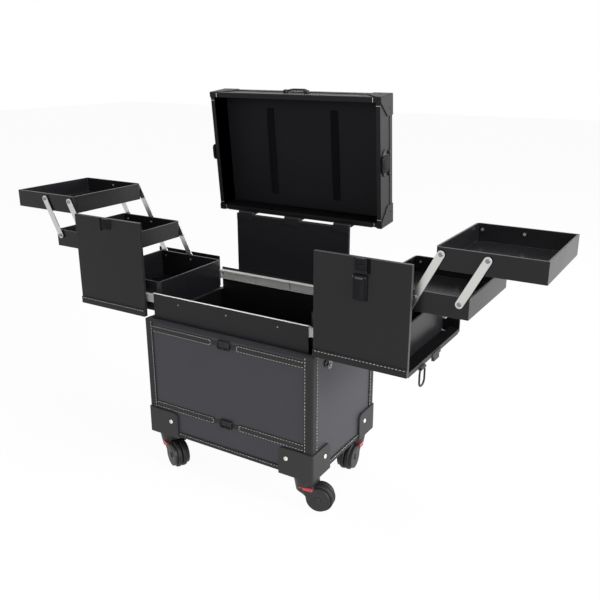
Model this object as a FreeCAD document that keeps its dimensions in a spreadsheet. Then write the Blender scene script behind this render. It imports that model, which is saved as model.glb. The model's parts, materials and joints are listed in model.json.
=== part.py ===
"""Makeup train case on casters, opened out for work.

A low box stands on four swivel casters. Above it two half cases run out to the left and right on
telescopic slides, and each half carries a stack of trays on parallel arms that fold over its low tray.
A lid hangs on three hinges from an upright plate at the back.

Frame: millimetres, +Z up, origin on the ground under the middle of the low box, front towards -Y.
"""

import FreeCAD
import Part
import os
import re

# Driving sizes, in millimetres and degrees: alias, value, what it is.
SIZES = {
    "case_width": (360, "low box, left to right"),
    "case_depth": (230, "low box, front to back"),
    "case_height": (228, "low box, underside to top edge"),
    "case_wall": (9, "low box wall"),
    "case_floor": (9, "low box floor"),
    "ground_clear": (74, "ground to the low box underside"),
    "trim_leg": (15, "corner trim, reach along each wall"),
    "trim_thick": (2, "corner trim and hem, thickness"),
    "trim_round": (4, "corner trim, outer radius"),
    "hem_rise": (9, "bottom hem strip, height"),
    "top_hem_drop": (6, "top hem strip, height"),
    "bumper_leg": (58, "corner bumper, reach along the side walls"),
    "bumper_front": (66, "corner bumper, reach along the front and rear walls"),
    "bumper_rise": (48, "corner bumper, height above the underside"),
    "bumper_thick": (4, "corner bumper, wall and base"),
    "bumper_round": (10, "corner bumper, rounded upper ends"),
    "rivet_round": (4, "bumper rivet, head radius"),
    "rivet_proud": (1.4, "rivet heads, height"),
    "liner_length": (332, "liner wall, left to right"),
    "liner_thick": (2.5, "liner wall"),
    "liner_end_gap": (5, "liner wall to the low box walls at its ends"),
    "liner_reach": (49, "liner wall above the low box"),
    "liner_rivet_pitch": (107, "liner wall rivets, pitch"),
    "back_width": (252, "upright back plate, width"),
    "back_thick": (6, "upright back plate"),
    "slide_level": (36, "slide centre line above the low box"),
    "slide_height": (17, "slide channel, height"),
    "slide_depth": (10.5, "slide, liner wall to tray"),
    "slide_length": (165, "slide channel, length"),
    "slide_sheet": (1.2, "slide channel sheet"),
    "slide_gap": (0.3, "slide, running gap"),
    "half_travel": (160, "travel of each half case"),
    "tray_parting": (1, "low tray to the middle plane when shut"),
    "tray_length": (160, "tray, left to right"),
    "tray_wall": (3, "tray wall"),
    "tray_floor": (3, "tray floor"),
    "tray_round": (8, "tray, corner radius at its inner end"),
    "tray_height": (33, "middle and top tray, height"),
    "low_tray_height": (58, "low tray, height"),
    "arm_length": (78.27, "arm, pivot to pivot"),
    "arm_width": (12, "arm, width"),
    "arm_thick": (1.8, "arm, thickness"),
    "arm_gap": (0.35, "arm, running gap beside a tray or arm"),
    "tray_step": (104, "each tray's step outwards when open"),
    "pivot_pitch": (68, "distance between the two pivots of a pair"),
    "pivot_inset": (10.2, "first pivot from the inner end of a tray"),
    "pivot_drop": (10, "pivot below the tray rim"),
    "pivot_round": (2, "pivot rivet, shank radius"),
    "pivot_head": (3, "pivot rivet, head radius"),
    "running_fit": (0.05, "radial clearance of a turning pin"),
    "ledge_lift": (3, "low box top to the ledge"),
    "ledge_thick": (6, "ledge under the low tray"),
    "ledge_tongue": (26, "ledge, reach under the low tray"),
    "ledge_width": (18.1, "ledge, width of its outer strip"),
    "ledge_lip": (2, "ledge outer lip, thickness"),
    "ledge_hang": (2, "ledge outer lip, drop"),
    "clasp_width": (34, "ledge clasp, width"),
    "clasp_drop": (10, "ledge clasp, drop of its tab"),
    "rear_gap": (0.6, "rear wall of a half case to the back plate"),
    "rear_thick": (3, "rear wall of a half case"),
    "rear_rise": (64, "rear wall of a half case, height"),
    "panel_inset": (21, "front panel to the middle plane when shut"),
    "panel_length": (164, "front panel, left to right"),
    "panel_height": (176.5, "front panel, height"),
    "panel_thick": (6, "front panel"),
    "panel_hem": (13, "front panel hem, height"),
    "hem_proud": (2, "front panel hem, standing proud"),
    "latch_width": (17, "panel latch, width"),
    "latch_height": (42, "panel latch lever, height"),
    "latch_drop": (24, "panel latch lever below the panel top"),
    "latch_base": (3, "latch base plates, thickness"),
    "latch_thick": (5, "latch levers, thickness"),
    "catch_width": (20, "panel catch, width"),
    "catch_height": (20, "panel catch, height"),
    "bail_place": (-62, "ledge bail, front to back place"),
    "bail_width": (24, "ledge bail, width over the wire"),
    "bail_drop": (36, "ledge bail, length"),
    "bail_wire": (1.6, "ledge bail, wire radius"),
    "catch_level": (30, "side catch below the low box top"),
    "side_catch_width": (24, "side catch, width"),
    "side_catch_height": (20, "side catch, height"),
    "buckle_width": (28, "front buckle, width"),
    "buckle_height": (17, "front buckle, height"),
    "buckle_bar": (3, "front buckle, frame bar"),
    "buckle_proud": (5, "front buckle, depth"),
    "buckle_upper": (17, "upper buckle below the low box top"),
    "buckle_lower": (57, "lower buckle above the underside"),
    "lid_width": (362, "lid, left to right"),
    "lid_depth": (230, "lid, front to back when shut"),
    "lid_height": (46, "lid, height when shut"),
    "lid_wall": (8, "lid wall"),
    "lid_top": (6, "lid top"),
    "lid_back": (114, "lid back face behind the middle when shut"),
    "lid_gap": (1.5, "shut lid above the front panels"),
    "lid_open": (84.4, "lid, degrees open"),
    "rim_height": (10, "lid rim strip, height"),
    "rim_proud": (1.2, "lid rim strip, standing proud"),
    "cap_leg": (35, "lid corner cap, reach"),
    "cap_slant": (27, "lid corner cap, slanted lower corner"),
    "cap_thick": (2, "lid corner cap, thickness"),
    "hinge_drop": (14, "hinge pin below the shut lid"),
    "hinge_back": (113, "hinge pin behind the middle"),
    "hinge_pitch": (108, "hinge pitch"),
    "hinge_width": (34, "hinge, width"),
    "hinge_leaf": (28, "hinge leaf, length"),
    "hinge_sheet": (1.4, "hinge leaf"),
    "barrel_round": (3.2, "hinge barrel, radius"),
    "pin_round": (1.5, "hinge pin, radius"),
    "knuckle_share": (10, "outer hinge knuckle, length"),
    "knuckle_gap": (0.3, "gap between hinge knuckles"),
    "grip_width": (37, "lid handle, width"),
    "grip_reach": (12, "lid handle, length of its bow"),
    "grip_round": (2, "lid handle, bow radius"),
    "lid_latch_length": (46, "lid side latch, length"),
    "lid_latch_width": (18, "lid side latch, width"),
    "lid_latch_place": (15, "lid side latch above the rim"),
    "stem_inset": (25, "caster stem from the low box faces"),
    "stem_round": (6, "caster stem, radius"),
    "socket_round": (24.6, "caster socket, radius"),
    "socket_drop": (3, "caster socket below the bumper"),
    "neck_round": (24, "caster neck, radius at the socket"),
    "neck_taper": (5, "caster neck, narrowing"),
    "neck_height": (28.6, "caster neck, height"),
    "neck_gap": (0.4, "caster neck below its socket"),
    "wheel_round": (26, "wheel, radius"),
    "wheel_width": (9, "each wheel, width"),
    "tread_round": (3, "wheel, rounded tread"),
    "hub_round": (13, "wheel, hub recess radius"),
    "hub_depth": (1.5, "wheel, hub recess depth"),
    "wheel_trail": (26, "wheel axle behind the stem"),
    "wheel_slot": (1.2, "slot between the twin wheels"),
    "wheel_gap": (0.7, "wheel to fork leg"),
    "axle_round": (3, "axle, radius"),
    "fork_gap": (1.8, "fork above the tread"),
    "leg_thick": (4.7, "fork leg, thickness"),
    "leg_round": (22, "fork leg, radius round the axle"),
    "leg_rise": (26, "fork leg, top above the axle"),
    "nose_drop": (15, "fork nose below the neck"),
    "nose_round": (5, "fork nose, radius of its foot"),
    "lock_level": (44, "lock pads above the ground"),
    "lock_width": (18, "lock pads, width"),
    "lock_height": (5.4, "lock pads, height"),
    "lock_thick": (3.4, "lock pads, thickness"),
    "lock_proud": (1.8, "lock pads beyond the narrow neck"),
    "lock_travel": (1.8, "lock pads, room to move in their pockets"),
    "lock_gap": (0.2, "lock bar in its slot"),
    "swivel_front_right": (10, "caster heading at rest, degrees"),
    "swivel_front_left": (-27, "caster heading at rest, degrees"),
    "swivel_rear_right": (-84, "caster heading at rest, degrees"),
    "swivel_rear_left": (-25, "caster heading at rest, degrees"),
}

# Levels and places that several pieces share, as expressions on the sizes.
HALF_WIDTH = "(case_width / 2)"
HALF_DEPTH = "(case_depth / 2)"
CASE_TOP = "(ground_clear + case_height)"
BUMPER_FOOT = "(ground_clear - bumper_thick)"
LINER_FACE = f"({HALF_DEPTH} - case_wall - liner_thick)"
SLIDE_LEVEL = f"({CASE_TOP} + slide_level)"
TRAY_FACE = f"({LINER_FACE} - slide_depth)"
TRAY_END = "(tray_parting + half_travel)"
LEDGE_FOOT = f"({CASE_TOP} + ledge_lift)"
LOW_FOOT = f"({LEDGE_FOOT} + ledge_thick)"
LOW_RIM = f"({LOW_FOOT} + low_tray_height)"
ARM_RUN = "(tray_step - pivot_pitch)"
ARM_RISE = f"sqrt(arm_length ^ 2 - {ARM_RUN} ^ 2)"
PANEL_END = "(panel_inset + half_travel)"
PANEL_TOP = f"({LEDGE_FOOT} + panel_height)"
PANEL_FACE = f"({HALF_DEPTH})"
LID_FOOT = f"({PANEL_TOP} + lid_gap)"
LID_HALF = "(lid_width / 2)"
LID_FRONT = "(lid_back - lid_depth)"
HINGE_LEVEL = f"({LID_FOOT} - hinge_drop)"
BACK_TOP = f"({HINGE_LEVEL} - barrel_round - knuckle_gap - 0.5)"
SOCKET_FOOT = f"({BUMPER_FOOT} - socket_drop)"
NECK_TOP = f"({SOCKET_FOOT} - neck_gap)"
NECK_FOOT = f"({NECK_TOP} - neck_height)"
WHEEL_INNER = "(wheel_slot / 2)"
WHEEL_OUTER = f"({WHEEL_INNER} + wheel_width)"

doc = FreeCAD.newDocument("makeup_train_case")
sheet = doc.addObject("Spreadsheet::Sheet", "Sizes")
for row, (alias, (value, meaning)) in enumerate(SIZES.items(), start=1):
    sheet.set(f"A{row}", meaning)
    sheet.set(f"B{row}", str(value))
    sheet.setAlias(f"B{row}", alias)
doc.recompute()

TURNS = {
    "x": FreeCAD.Rotation(FreeCAD.Vector(0, 1, 0), 90),
    "y": FreeCAD.Rotation(FreeCAD.Vector(1, 0, 0), -90),
    "z": FreeCAD.Rotation(),
}
nodes = {}


def tie(thing, prop, expression):
    """Binds a property to an expression whose bare size names become cells of the sheet."""
    def cell(match):
        word = match.group(0)
        return f"Sizes.{word}" if word in SIZES else word
    thing.setExpression(prop, re.sub(r"[a-z][a-z_]*", cell, expression))


def worth(expression):
    """The number that an expression on the sizes comes to, for what can't hold an expression."""
    cells = doc.addObject("App::FeaturePython", "worth")
    cells.addProperty("App::PropertyFloat", "Value")
    tie(cells, "Value", expression)
    cells.recompute()
    number = cells.Value
    doc.removeObject(cells.Name)
    return number


def place(thing, x="0", y="0", z="0"):
    """Binds where a thing stands."""
    for axis, expression in zip("xyz", (x, y, z)):
        tie(thing, f"Placement.Base.{axis}", expression)


def fill_box(thing, x, y, z):
    """Gives a box its three spans, each a (low, high) pair of expressions."""
    for prop, (low, high) in zip(("Length", "Width", "Height"), (x, y, z)):
        tie(thing, prop, f"({high}) - ({low})")
    place(thing, x[0], y[0], z[0])
    return thing


def fill_rod(thing, axis, centre, radius, span):
    """Gives a cylinder its axis, the two coordinates of its centre line, its radius and its span."""
    thing.Placement = FreeCAD.Placement(FreeCAD.Vector(), TURNS[axis])
    tie(thing, "Radius", radius)
    tie(thing, "Height", f"({span[1]}) - ({span[0]})")
    spots = list(centre)
    spots.insert("xyz".index(axis), span[0])
    place(thing, *spots)
    return thing


def block(name, x, y, z):
    return fill_box(doc.addObject("Part::Box", name), x, y, z)


def rod(name, axis, centre, radius, span):
    return fill_rod(doc.addObject("Part::Cylinder", name), axis, centre, radius, span)


def fuse(name, *members):
    whole = doc.addObject("Part::MultiFuse", name)
    whole.Shapes = list(members)
    whole.Refine = True
    return whole


def cut(name, base, *tools):
    rest = doc.addObject("Part::Cut", name)
    rest.Base = base
    rest.Tool = tools[0] if len(tools) == 1 else fuse(f"{name}_tools", *tools)
    rest.Refine = True
    return rest


def mirrored(name, source, normal, level="0"):
    """The mirror image of a thing in the plane square to normal, at level along it."""
    image = doc.addObject("Part::Mirroring", name)
    image.Source = source
    image.Normal = FreeCAD.Vector(*normal)
    image.Base = FreeCAD.Vector(*normal) * worth(level)
    return image


def group(name, *members):
    bunch = doc.addObject("Part::Compound", name)
    bunch.Links = list(members)
    return bunch


def four_corners(name, master):
    """A piece at one corner of the low box, and its images at the other three."""
    across = mirrored(f"{name}_across", master, (1, 0, 0))
    behind = mirrored(f"{name}_behind", master, (0, 1, 0))
    opposite = mirrored(f"{name}_opposite", across, (0, 1, 0))
    return master, across, behind, opposite


def front_and_back(name, master):
    """A piece at the front and its image at the back."""
    return master, mirrored(f"{name}_behind", master, (0, 1, 0))


class Body:
    """A design body that grows by boxes, cylinders and fillets tied to the sheet."""

    def __init__(self, name):
        self.name = name
        self.body = doc.addObject("PartDesign::Body", name)
        self.count = 0

    def feature(self, kind):
        self.count += 1
        return self.body.newObject(f"PartDesign::{kind}", f"{self.name}_{kind}_{self.count}")

    def add_box(self, x, y, z):
        fill_box(self.feature("AdditiveBox"), x, y, z)
        return self

    def cut_box(self, x, y, z):
        fill_box(self.feature("SubtractiveBox"), x, y, z)
        return self

    def add_rod(self, axis, centre, radius, span):
        fill_rod(self.feature("AdditiveCylinder"), axis, centre, radius, span)
        return self

    def cut_rod(self, axis, centre, radius, span):
        fill_rod(self.feature("SubtractiveCylinder"), axis, centre, radius, span)
        return self

    def pick(self, wanted):
        """The body's last feature, and the names of its edges that satisfy wanted."""
        doc.recompute()
        base = self.body.Tip
        names = []
        for number, edge in enumerate(base.Shape.Edges, start=1):
            half = (edge.FirstParameter + edge.LastParameter) / 2
            if wanted(edge.valueAt(half), edge.tangentAt(half), edge):
                names.append(f"Edge{number}")
        return base, names

    def round_edges(self, radius, wanted):
        """Fillets the edges whose middle point and direction satisfy wanted."""
        base, names = self.pick(wanted)
        fillet = self.feature("Fillet")
        fillet.Base = (base, names)
        tie(fillet, "Radius", radius)
        return self

    def bevel_edges(self, size, wanted):
        """Chamfers the edges whose middle point and direction satisfy wanted."""
        base, names = self.pick(wanted)
        chamfer = self.feature("Chamfer")
        chamfer.Base = (base, names)
        tie(chamfer, "Size", size)
        return self


def upright(middle, along, edge):
    """Straight edges along Z."""
    return abs(along.z) > 0.99 and edge.Curve.TypeId == "Part::GeomLine"


def keep(label, thing, placement=None):
    """Registers a finished sub-part under its label, with its place if it stands elsewhere."""
    thing = getattr(thing, "body", thing)
    thing.Label = label
    if placement is not None:
        thing.Placement = placement
    nodes[label] = thing
    return thing


def minus(expression):
    return f"-({expression})"


def both(expression):
    """The span from minus to plus of an expression."""
    return minus(expression), expression


# The low box

case = Body("case_shell")
case.add_box(both(HALF_WIDTH), both(HALF_DEPTH), ("ground_clear", CASE_TOP))
case.cut_box(
    both(f"{HALF_WIDTH} - case_wall"),
    both(f"{HALF_DEPTH} - case_wall"),
    ("ground_clear + case_floor", f"{CASE_TOP} + 1"),
)
keep("case_shell", case)

TRIM_FOOT = "(ground_clear + bumper_rise)"
trim = Body("corner_trim")
trim.add_box(
    (f"{HALF_WIDTH} - trim_leg", f"{HALF_WIDTH} + trim_thick"),
    (minus(f"{HALF_DEPTH} + trim_thick"), f"trim_leg - {HALF_DEPTH}"),
    (TRIM_FOOT, CASE_TOP),
)
trim.round_edges("trim_round", lambda middle, along, edge: (
    upright(middle, along, edge)
    and middle.x > worth(HALF_WIDTH)
    and middle.y < -worth(HALF_DEPTH)
))
trim.cut_box(
    ("0", HALF_WIDTH),
    (minus(HALF_DEPTH), HALF_DEPTH),
    ("0", f"{CASE_TOP} + 1"),
)
HEM_SPAN = ("ground_clear", "ground_clear + hem_rise")
front_hem = block(
    "front_hem",
    both(f"{HALF_WIDTH} - bumper_front"),
    (minus(f"{HALF_DEPTH} + trim_thick"), minus(HALF_DEPTH)),
    HEM_SPAN,
)
side_hem = block(
    "side_hem",
    (HALF_WIDTH, f"{HALF_WIDTH} + trim_thick"),
    both(f"{HALF_DEPTH} - bumper_leg"),
    HEM_SPAN,
)
TOP_HEM_SPAN = (f"{CASE_TOP} - top_hem_drop", CASE_TOP)
front_top_hem = block(
    "front_top_hem",
    both(f"{HALF_WIDTH} - trim_leg"),
    (minus(f"{HALF_DEPTH} + trim_thick / 2"), minus(HALF_DEPTH)),
    TOP_HEM_SPAN,
)
side_top_hem = block(
    "side_top_hem",
    (HALF_WIDTH, f"{HALF_WIDTH} + trim_thick / 2"),
    both(f"{HALF_DEPTH} - trim_leg"),
    TOP_HEM_SPAN,
)
keep("edge_trims", group(
    "edge_trims",
    *four_corners("corner_trim", trim.body),
    *front_and_back("front_hem", front_hem),
    *front_and_back("front_top_hem", front_top_hem),
    side_hem,
    mirrored("side_hem_across", side_hem, (1, 0, 0)),
    side_top_hem,
    mirrored("side_top_hem_across", side_top_hem, (1, 0, 0)),
))

STEM_X = f"({HALF_WIDTH} - stem_inset)"
STEM_Y = f"({HALF_DEPTH} - stem_inset)"
bumper = Body("corner_bumper")
bumper.add_box(
    (f"{HALF_WIDTH} - bumper_front", f"{HALF_WIDTH} + bumper_thick"),
    (minus(f"{HALF_DEPTH} + bumper_thick"), f"bumper_leg - {HALF_DEPTH}"),
    (BUMPER_FOOT, TRIM_FOOT),
)
bumper.round_edges("bumper_thick", lambda middle, along, edge: (
    upright(middle, along, edge)
    and middle.x > worth(HALF_WIDTH)
    and middle.y < -worth(HALF_DEPTH)
))
bumper.cut_box(
    ("0", HALF_WIDTH),
    (minus(HALF_DEPTH), "0"),
    ("ground_clear", f"{TRIM_FOOT} + 1"),
)
bumper.round_edges("bumper_round", lambda middle, along, edge: (
    middle.z > worth(TRIM_FOOT) - 0.1
    and edge.Length < worth("bumper_thick") + 0.1
    and edge.Curve.TypeId == "Part::GeomLine"
))
bumper.add_rod("z", (STEM_X, minus(STEM_Y)), "socket_round", (SOCKET_FOOT, BUMPER_FOOT))
bumper.cut_rod(
    "z", (STEM_X, minus(STEM_Y)), "stem_round + running_fit", (f"{SOCKET_FOOT} - 1", "ground_clear")
)
keep("corner_bumpers", group("corner_bumpers", *four_corners("corner_bumper", bumper.body)))

RIVET_LEVEL = "(ground_clear + bumper_rise * 0.6)"
front_rivet = rod(
    "front_rivet",
    "y",
    (f"{HALF_WIDTH} - bumper_front * 0.76", RIVET_LEVEL),
    "rivet_round",
    (minus(f"{HALF_DEPTH} + bumper_thick + rivet_proud"), minus(f"{HALF_DEPTH} + bumper_thick")),
)
side_rivet = rod(
    "side_rivet",
    "x",
    (f"bumper_leg * 0.66 - {HALF_DEPTH}", RIVET_LEVEL),
    "rivet_round",
    (f"{HALF_WIDTH} + bumper_thick", f"{HALF_WIDTH} + bumper_thick + rivet_proud"),
)
LINER_SKIN = f"({LINER_FACE} + liner_thick)"
liner_rivets = []
for name, spot in (("left", "-liner_rivet_pitch"), ("middle", "0"), ("right", "liner_rivet_pitch")):
    liner_rivet = rod(
        f"liner_rivet_{name}",
        "y",
        (spot, SLIDE_LEVEL),
        "rivet_round * 0.6",
        (minus(f"{LINER_SKIN} + rivet_proud"), minus(LINER_SKIN)),
    )
    liner_rivets.append(liner_rivet)
keep("base_rivets", group(
    "base_rivets",
    *four_corners("front_rivet", front_rivet),
    *four_corners("side_rivet", side_rivet),
    *liner_rivets,
))

LINER_TOP = f"({CASE_TOP} + liner_reach)"
LINER_SPAN = (minus(LINER_SKIN), minus(LINER_FACE))
liner = Body("liner_front")
liner.add_box(
    both(f"{HALF_WIDTH} - case_wall - liner_end_gap"), LINER_SPAN, ("ground_clear + case_floor", CASE_TOP)
)
liner.add_box(both("liner_length / 2"), LINER_SPAN, (CASE_TOP, LINER_TOP))
keep("liner_walls", group("liner_walls", *front_and_back("liner_front", liner.body)))

back_plate = Body("back_plate")
back_plate.add_box(
    both("back_width / 2"), (LINER_SKIN, f"{LINER_SKIN} + back_thick"), (CASE_TOP, BACK_TOP)
)
keep("back_plate", back_plate)


def buckle(name, level):
    """A flat strap buckle: a rectangular frame with a middle tongue hanging from its upper bar."""
    face = minus(HALF_DEPTH)
    proud = minus(f"{HALF_DEPTH} + buckle_proud")
    frame = Body(name)
    frame.add_box(both("buckle_width / 2"), (proud, face), (level, f"{level} + buckle_height"))
    frame.round_edges("buckle_bar / 2", lambda middle, along, edge: (
        abs(along.y) > 0.99
    ))
    frame.cut_box(
        both("buckle_width / 2 - buckle_bar"),
        (f"{proud} - 1", f"{face} + 1"),
        (f"{level} + buckle_bar", f"{level} + buckle_height - buckle_bar"),
    )
    frame.add_box(
        both("buckle_width / 6"),
        (f"{face} - buckle_proud / 2", face),
        (f"{level} + buckle_bar", f"{level} + buckle_height - buckle_bar"),
    )
    return frame.body


keep("front_buckles", group(
    "front_buckles",
    buckle("upper_buckle", f"({CASE_TOP} - buckle_upper - buckle_height / 2)"),
    buckle("lower_buckle", "(ground_clear + buckle_lower - buckle_height / 2)"),
))

CATCH_LEVEL = f"({CASE_TOP} - catch_level)"
side_catch = fuse(
    "side_catch",
    block(
        "catch_plate",
        (HALF_WIDTH, f"{HALF_WIDTH} + trim_thick / 2"),
        ("bail_place - side_catch_width / 2", "bail_place + side_catch_width / 2"),
        (f"{CATCH_LEVEL} - side_catch_height / 2", f"{CATCH_LEVEL} + side_catch_height / 2"),
    ),
    block(
        "catch_hook",
        (HALF_WIDTH, f"{HALF_WIDTH} + trim_thick * 2"),
        ("bail_place - side_catch_width / 4", "bail_place + side_catch_width / 4"),
        (f"{CATCH_LEVEL} - side_catch_height / 4", f"{CATCH_LEVEL}"),
    ),
)
keep("side_catches", group(
    "side_catches", side_catch, mirrored("side_catch_across", side_catch, (1, 0, 0))
))

# Telescopic slides: a channel on the liner wall, a middle member and a bar on the low tray


def channel(name, start, outset, height):
    """A front C channel from start, its web outset from the liner wall, open towards the tray."""
    web = f"({LINER_FACE} - {outset})"
    outer = block(
        f"{name}_outer",
        (start, f"{start} + slide_length"),
        (minus(web), minus(f"{TRAY_FACE} + slide_gap")),
        (f"{SLIDE_LEVEL} - {height} / 2", f"{SLIDE_LEVEL} + {height} / 2"),
    )
    hollow = block(
        f"{name}_hollow",
        (f"{start} - 1", f"{start} + slide_length + 1"),
        (f"slide_sheet - {web}", minus(TRAY_FACE)),
        (f"{SLIDE_LEVEL} + slide_sheet - {height} / 2", f"{SLIDE_LEVEL} - slide_sheet + {height} / 2"),
    )
    return cut(name, outer, hollow)


CHANNEL_START = "(liner_length / 2 - slide_length)"
STEP_IN = "(slide_sheet + slide_gap)"
keep("slide_channels", group(
    "slide_channels",
    *four_corners("slide_channel", channel("slide_channel", CHANNEL_START, "0", "slide_height")),
))
MIDDLE_HEIGHT = f"(slide_height - 2 * {STEP_IN})"
middle_slides = group("right_slide_middles", *front_and_back(
    "right_slide_middle",
    channel("right_slide_middle", f"({CHANNEL_START} + half_travel / 2)", STEP_IN, MIDDLE_HEIGHT),
))
keep("right_slide_middles", middle_slides)
BAR_HEIGHT = f"({MIDDLE_HEIGHT} - 2 * {STEP_IN})"
slide_bar = block(
    "right_slide_bar",
    (f"{CHANNEL_START} + half_travel", f"{CHANNEL_START} + half_travel + slide_length"),
    (minus(f"{LINER_FACE} - 2 * {STEP_IN}"), minus(TRAY_FACE)),
    (f"{SLIDE_LEVEL} - {BAR_HEIGHT} / 2", f"{SLIDE_LEVEL} + {BAR_HEIGHT} / 2"),
)
keep("right_slide_bars", group("right_slide_bars", *front_and_back("right_slide_bar", slide_bar)))

# The right half case: front panel, ledge and trays

panel = Body("right_front_panel")
panel.add_box(
    (PANEL_END, f"{PANEL_END} + panel_length"),
    (minus(PANEL_FACE), minus(f"{PANEL_FACE} - panel_thick")),
    (LEDGE_FOOT, PANEL_TOP),
)
panel.add_box(
    (PANEL_END, f"{PANEL_END} + panel_length"),
    (minus(f"{PANEL_FACE} + hem_proud"), minus(f"{PANEL_FACE} - panel_thick")),
    (LEDGE_FOOT, f"{LEDGE_FOOT} + panel_hem"),
)
keep("right_front_panel", panel)

LEDGE_END = f"({PANEL_END} + panel_length)"
LEDGE_INNER = f"({LEDGE_END} - ledge_width)"
PANEL_INSIDE = f"({PANEL_FACE} - panel_thick)"
ledge = Body("right_ledge")
ledge.add_box((LEDGE_INNER, LEDGE_END), both(PANEL_INSIDE), (LEDGE_FOOT, LOW_FOOT))
ledge.add_box(
    (f"{TRAY_END} + tray_length - ledge_tongue", LEDGE_INNER),
    both(f"{TRAY_FACE} - 1"),
    (LEDGE_FOOT, LOW_FOOT),
)
ledge.add_box(
    (f"{LEDGE_END} - ledge_lip", LEDGE_END),
    both(PANEL_INSIDE),
    (f"{LEDGE_FOOT} - ledge_hang", LOW_FOOT),
)
REAR_FACE = f"({LINER_SKIN} + back_thick + rear_gap)"
ledge.add_box((LEDGE_INNER, LEDGE_END), ("0", REAR_FACE), (LEDGE_FOOT, LOW_FOOT))
ledge.add_box(
    (PANEL_END, LEDGE_END),
    (REAR_FACE, f"{REAR_FACE} + rear_thick"),
    (LEDGE_FOOT, f"{LEDGE_FOOT} + rear_rise"),
)
BAIL_LEVEL = f"({LEDGE_FOOT} - ledge_hang / 2)"
EYE_ROUND = "(bail_wire * 2)"
EYE_HALF = "(bail_width / 2 - bail_wire * 2 - slide_gap)"
BAIL_X = f"({LEDGE_END} + {EYE_ROUND})"
bail_eye = cut(
    "right_bail_eye",
    fuse(
        "right_bail_eye_body",
        rod(
            "right_bail_eye_barrel",
            "y",
            (BAIL_X, BAIL_LEVEL),
            EYE_ROUND,
            (f"bail_place - {EYE_HALF}", f"bail_place + {EYE_HALF}"),
        ),
        block(
            "right_bail_eye_foot",
            (LEDGE_END, BAIL_X),
            (f"bail_place - {EYE_HALF}", f"bail_place + {EYE_HALF}"),
            (f"{BAIL_LEVEL} - {EYE_ROUND}", f"{BAIL_LEVEL} + {EYE_ROUND}"),
        ),
    ),
    rod(
        "right_bail_eye_bore",
        "y",
        (BAIL_X, BAIL_LEVEL),
        "bail_wire + running_fit",
        (f"bail_place - {EYE_HALF} - 1", f"bail_place + {EYE_HALF} + 1"),
    ),
)
ledge_clasp = fuse(
    "right_ledge_clasp",
    block(
        "right_clasp_plate",
        (LEDGE_END, f"{LEDGE_END} + latch_base"),
        both("clasp_width / 2"),
        (f"{LEDGE_FOOT} - ledge_hang", f"{LOW_FOOT} - 1"),
    ),
    block(
        "right_clasp_tab",
        (f"{LEDGE_END} - ledge_lip", f"{LEDGE_END} + latch_base"),
        both("clasp_width / 3"),
        (f"{LEDGE_FOOT} - clasp_drop", f"{LEDGE_FOOT} - ledge_hang"),
    ),
)
keep("right_ledge", group("right_ledge", ledge.body, bail_eye, ledge_clasp))

WIRE_HALF = "(bail_width / 2 - bail_wire)"
BAIL_FOOT = f"({BAIL_LEVEL} - bail_drop)"
bail_wires = [
    rod(f"right_bail_{name}", axis, centre, "bail_wire", span)
    for name, axis, centre, span in (
        ("pin", "y", (BAIL_X, BAIL_LEVEL), (f"bail_place - {WIRE_HALF}", f"bail_place + {WIRE_HALF}")),
        ("front", "z", (BAIL_X, f"bail_place - {WIRE_HALF}"), (BAIL_FOOT, BAIL_LEVEL)),
        ("back", "z", (BAIL_X, f"bail_place + {WIRE_HALF}"), (BAIL_FOOT, BAIL_LEVEL)),
        ("bow", "y", (BAIL_X, BAIL_FOOT), (f"bail_place - {WIRE_HALF}", f"bail_place + {WIRE_HALF}")),
    )
]
bail_knees = []
for name, side in (("front", "-"), ("back", "+")):
    for end, level in (("top", BAIL_LEVEL), ("foot", BAIL_FOOT)):
        knee = doc.addObject("Part::Sphere", f"right_bail_knee_{name}_{end}")
        tie(knee, "Radius", "bail_wire")
        place(knee, BAIL_X, f"bail_place {side} {WIRE_HALF}", level)
        bail_knees.append(knee)
keep("right_bail", fuse("right_bail", *bail_wires, *bail_knees))


def tray(label, start, foot, height, pivots):
    """An open tray, rounded at its inner end, with a hole through both long walls for each pivot."""
    made = Body(label)
    made.add_box(
        (start, f"{start} + tray_length"), both(TRAY_FACE), (foot, f"{foot} + {height}")
    )
    made.round_edges("tray_round", lambda middle, along, edge: (
        upright(middle, along, edge) and middle.x < worth(f"{start} + tray_length / 2")
    ))
    made.cut_box(
        (f"{start} + tray_wall", f"{start} + tray_length - tray_wall"),
        both(f"{TRAY_FACE} - tray_wall"),
        (f"{foot} + tray_floor", f"{foot} + {height} + 1"),
    )
    for pivot in pivots:
        made.cut_rod(
            "y",
            (f"{start} + {pivot}", f"{foot} + {height} - pivot_drop"),
            "pivot_round + running_fit",
            both(f"{TRAY_FACE} + 1"),
        )
    return keep(label, made)


FIRST = "pivot_inset"
SECOND = "(pivot_inset + pivot_pitch)"
THIRD = "(pivot_inset + 2 * pivot_pitch)"
MIDDLE_END = f"({TRAY_END} + tray_step)"
TOP_END = f"({MIDDLE_END} + tray_step)"
MIDDLE_RIM = f"({LOW_RIM} + {ARM_RISE})"
TOP_RIM = f"({MIDDLE_RIM} + {ARM_RISE})"
tray("right_low_tray", TRAY_END, LOW_FOOT, "low_tray_height", (SECOND, THIRD))
MIDDLE_FOOT = f"({MIDDLE_RIM} - tray_height)"
TOP_FOOT = f"({TOP_RIM} - tray_height)"
tray("right_middle_tray", MIDDLE_END, MIDDLE_FOOT, "tray_height", (FIRST, SECOND, THIRD))
tray("right_top_tray", TOP_END, TOP_FOOT, "tray_height", (FIRST, SECOND))

# Arms. The lower pair lies against the trays, the upper pair outside it, and the two share one pin.

LAYER = "(arm_gap + arm_thick)"


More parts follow.
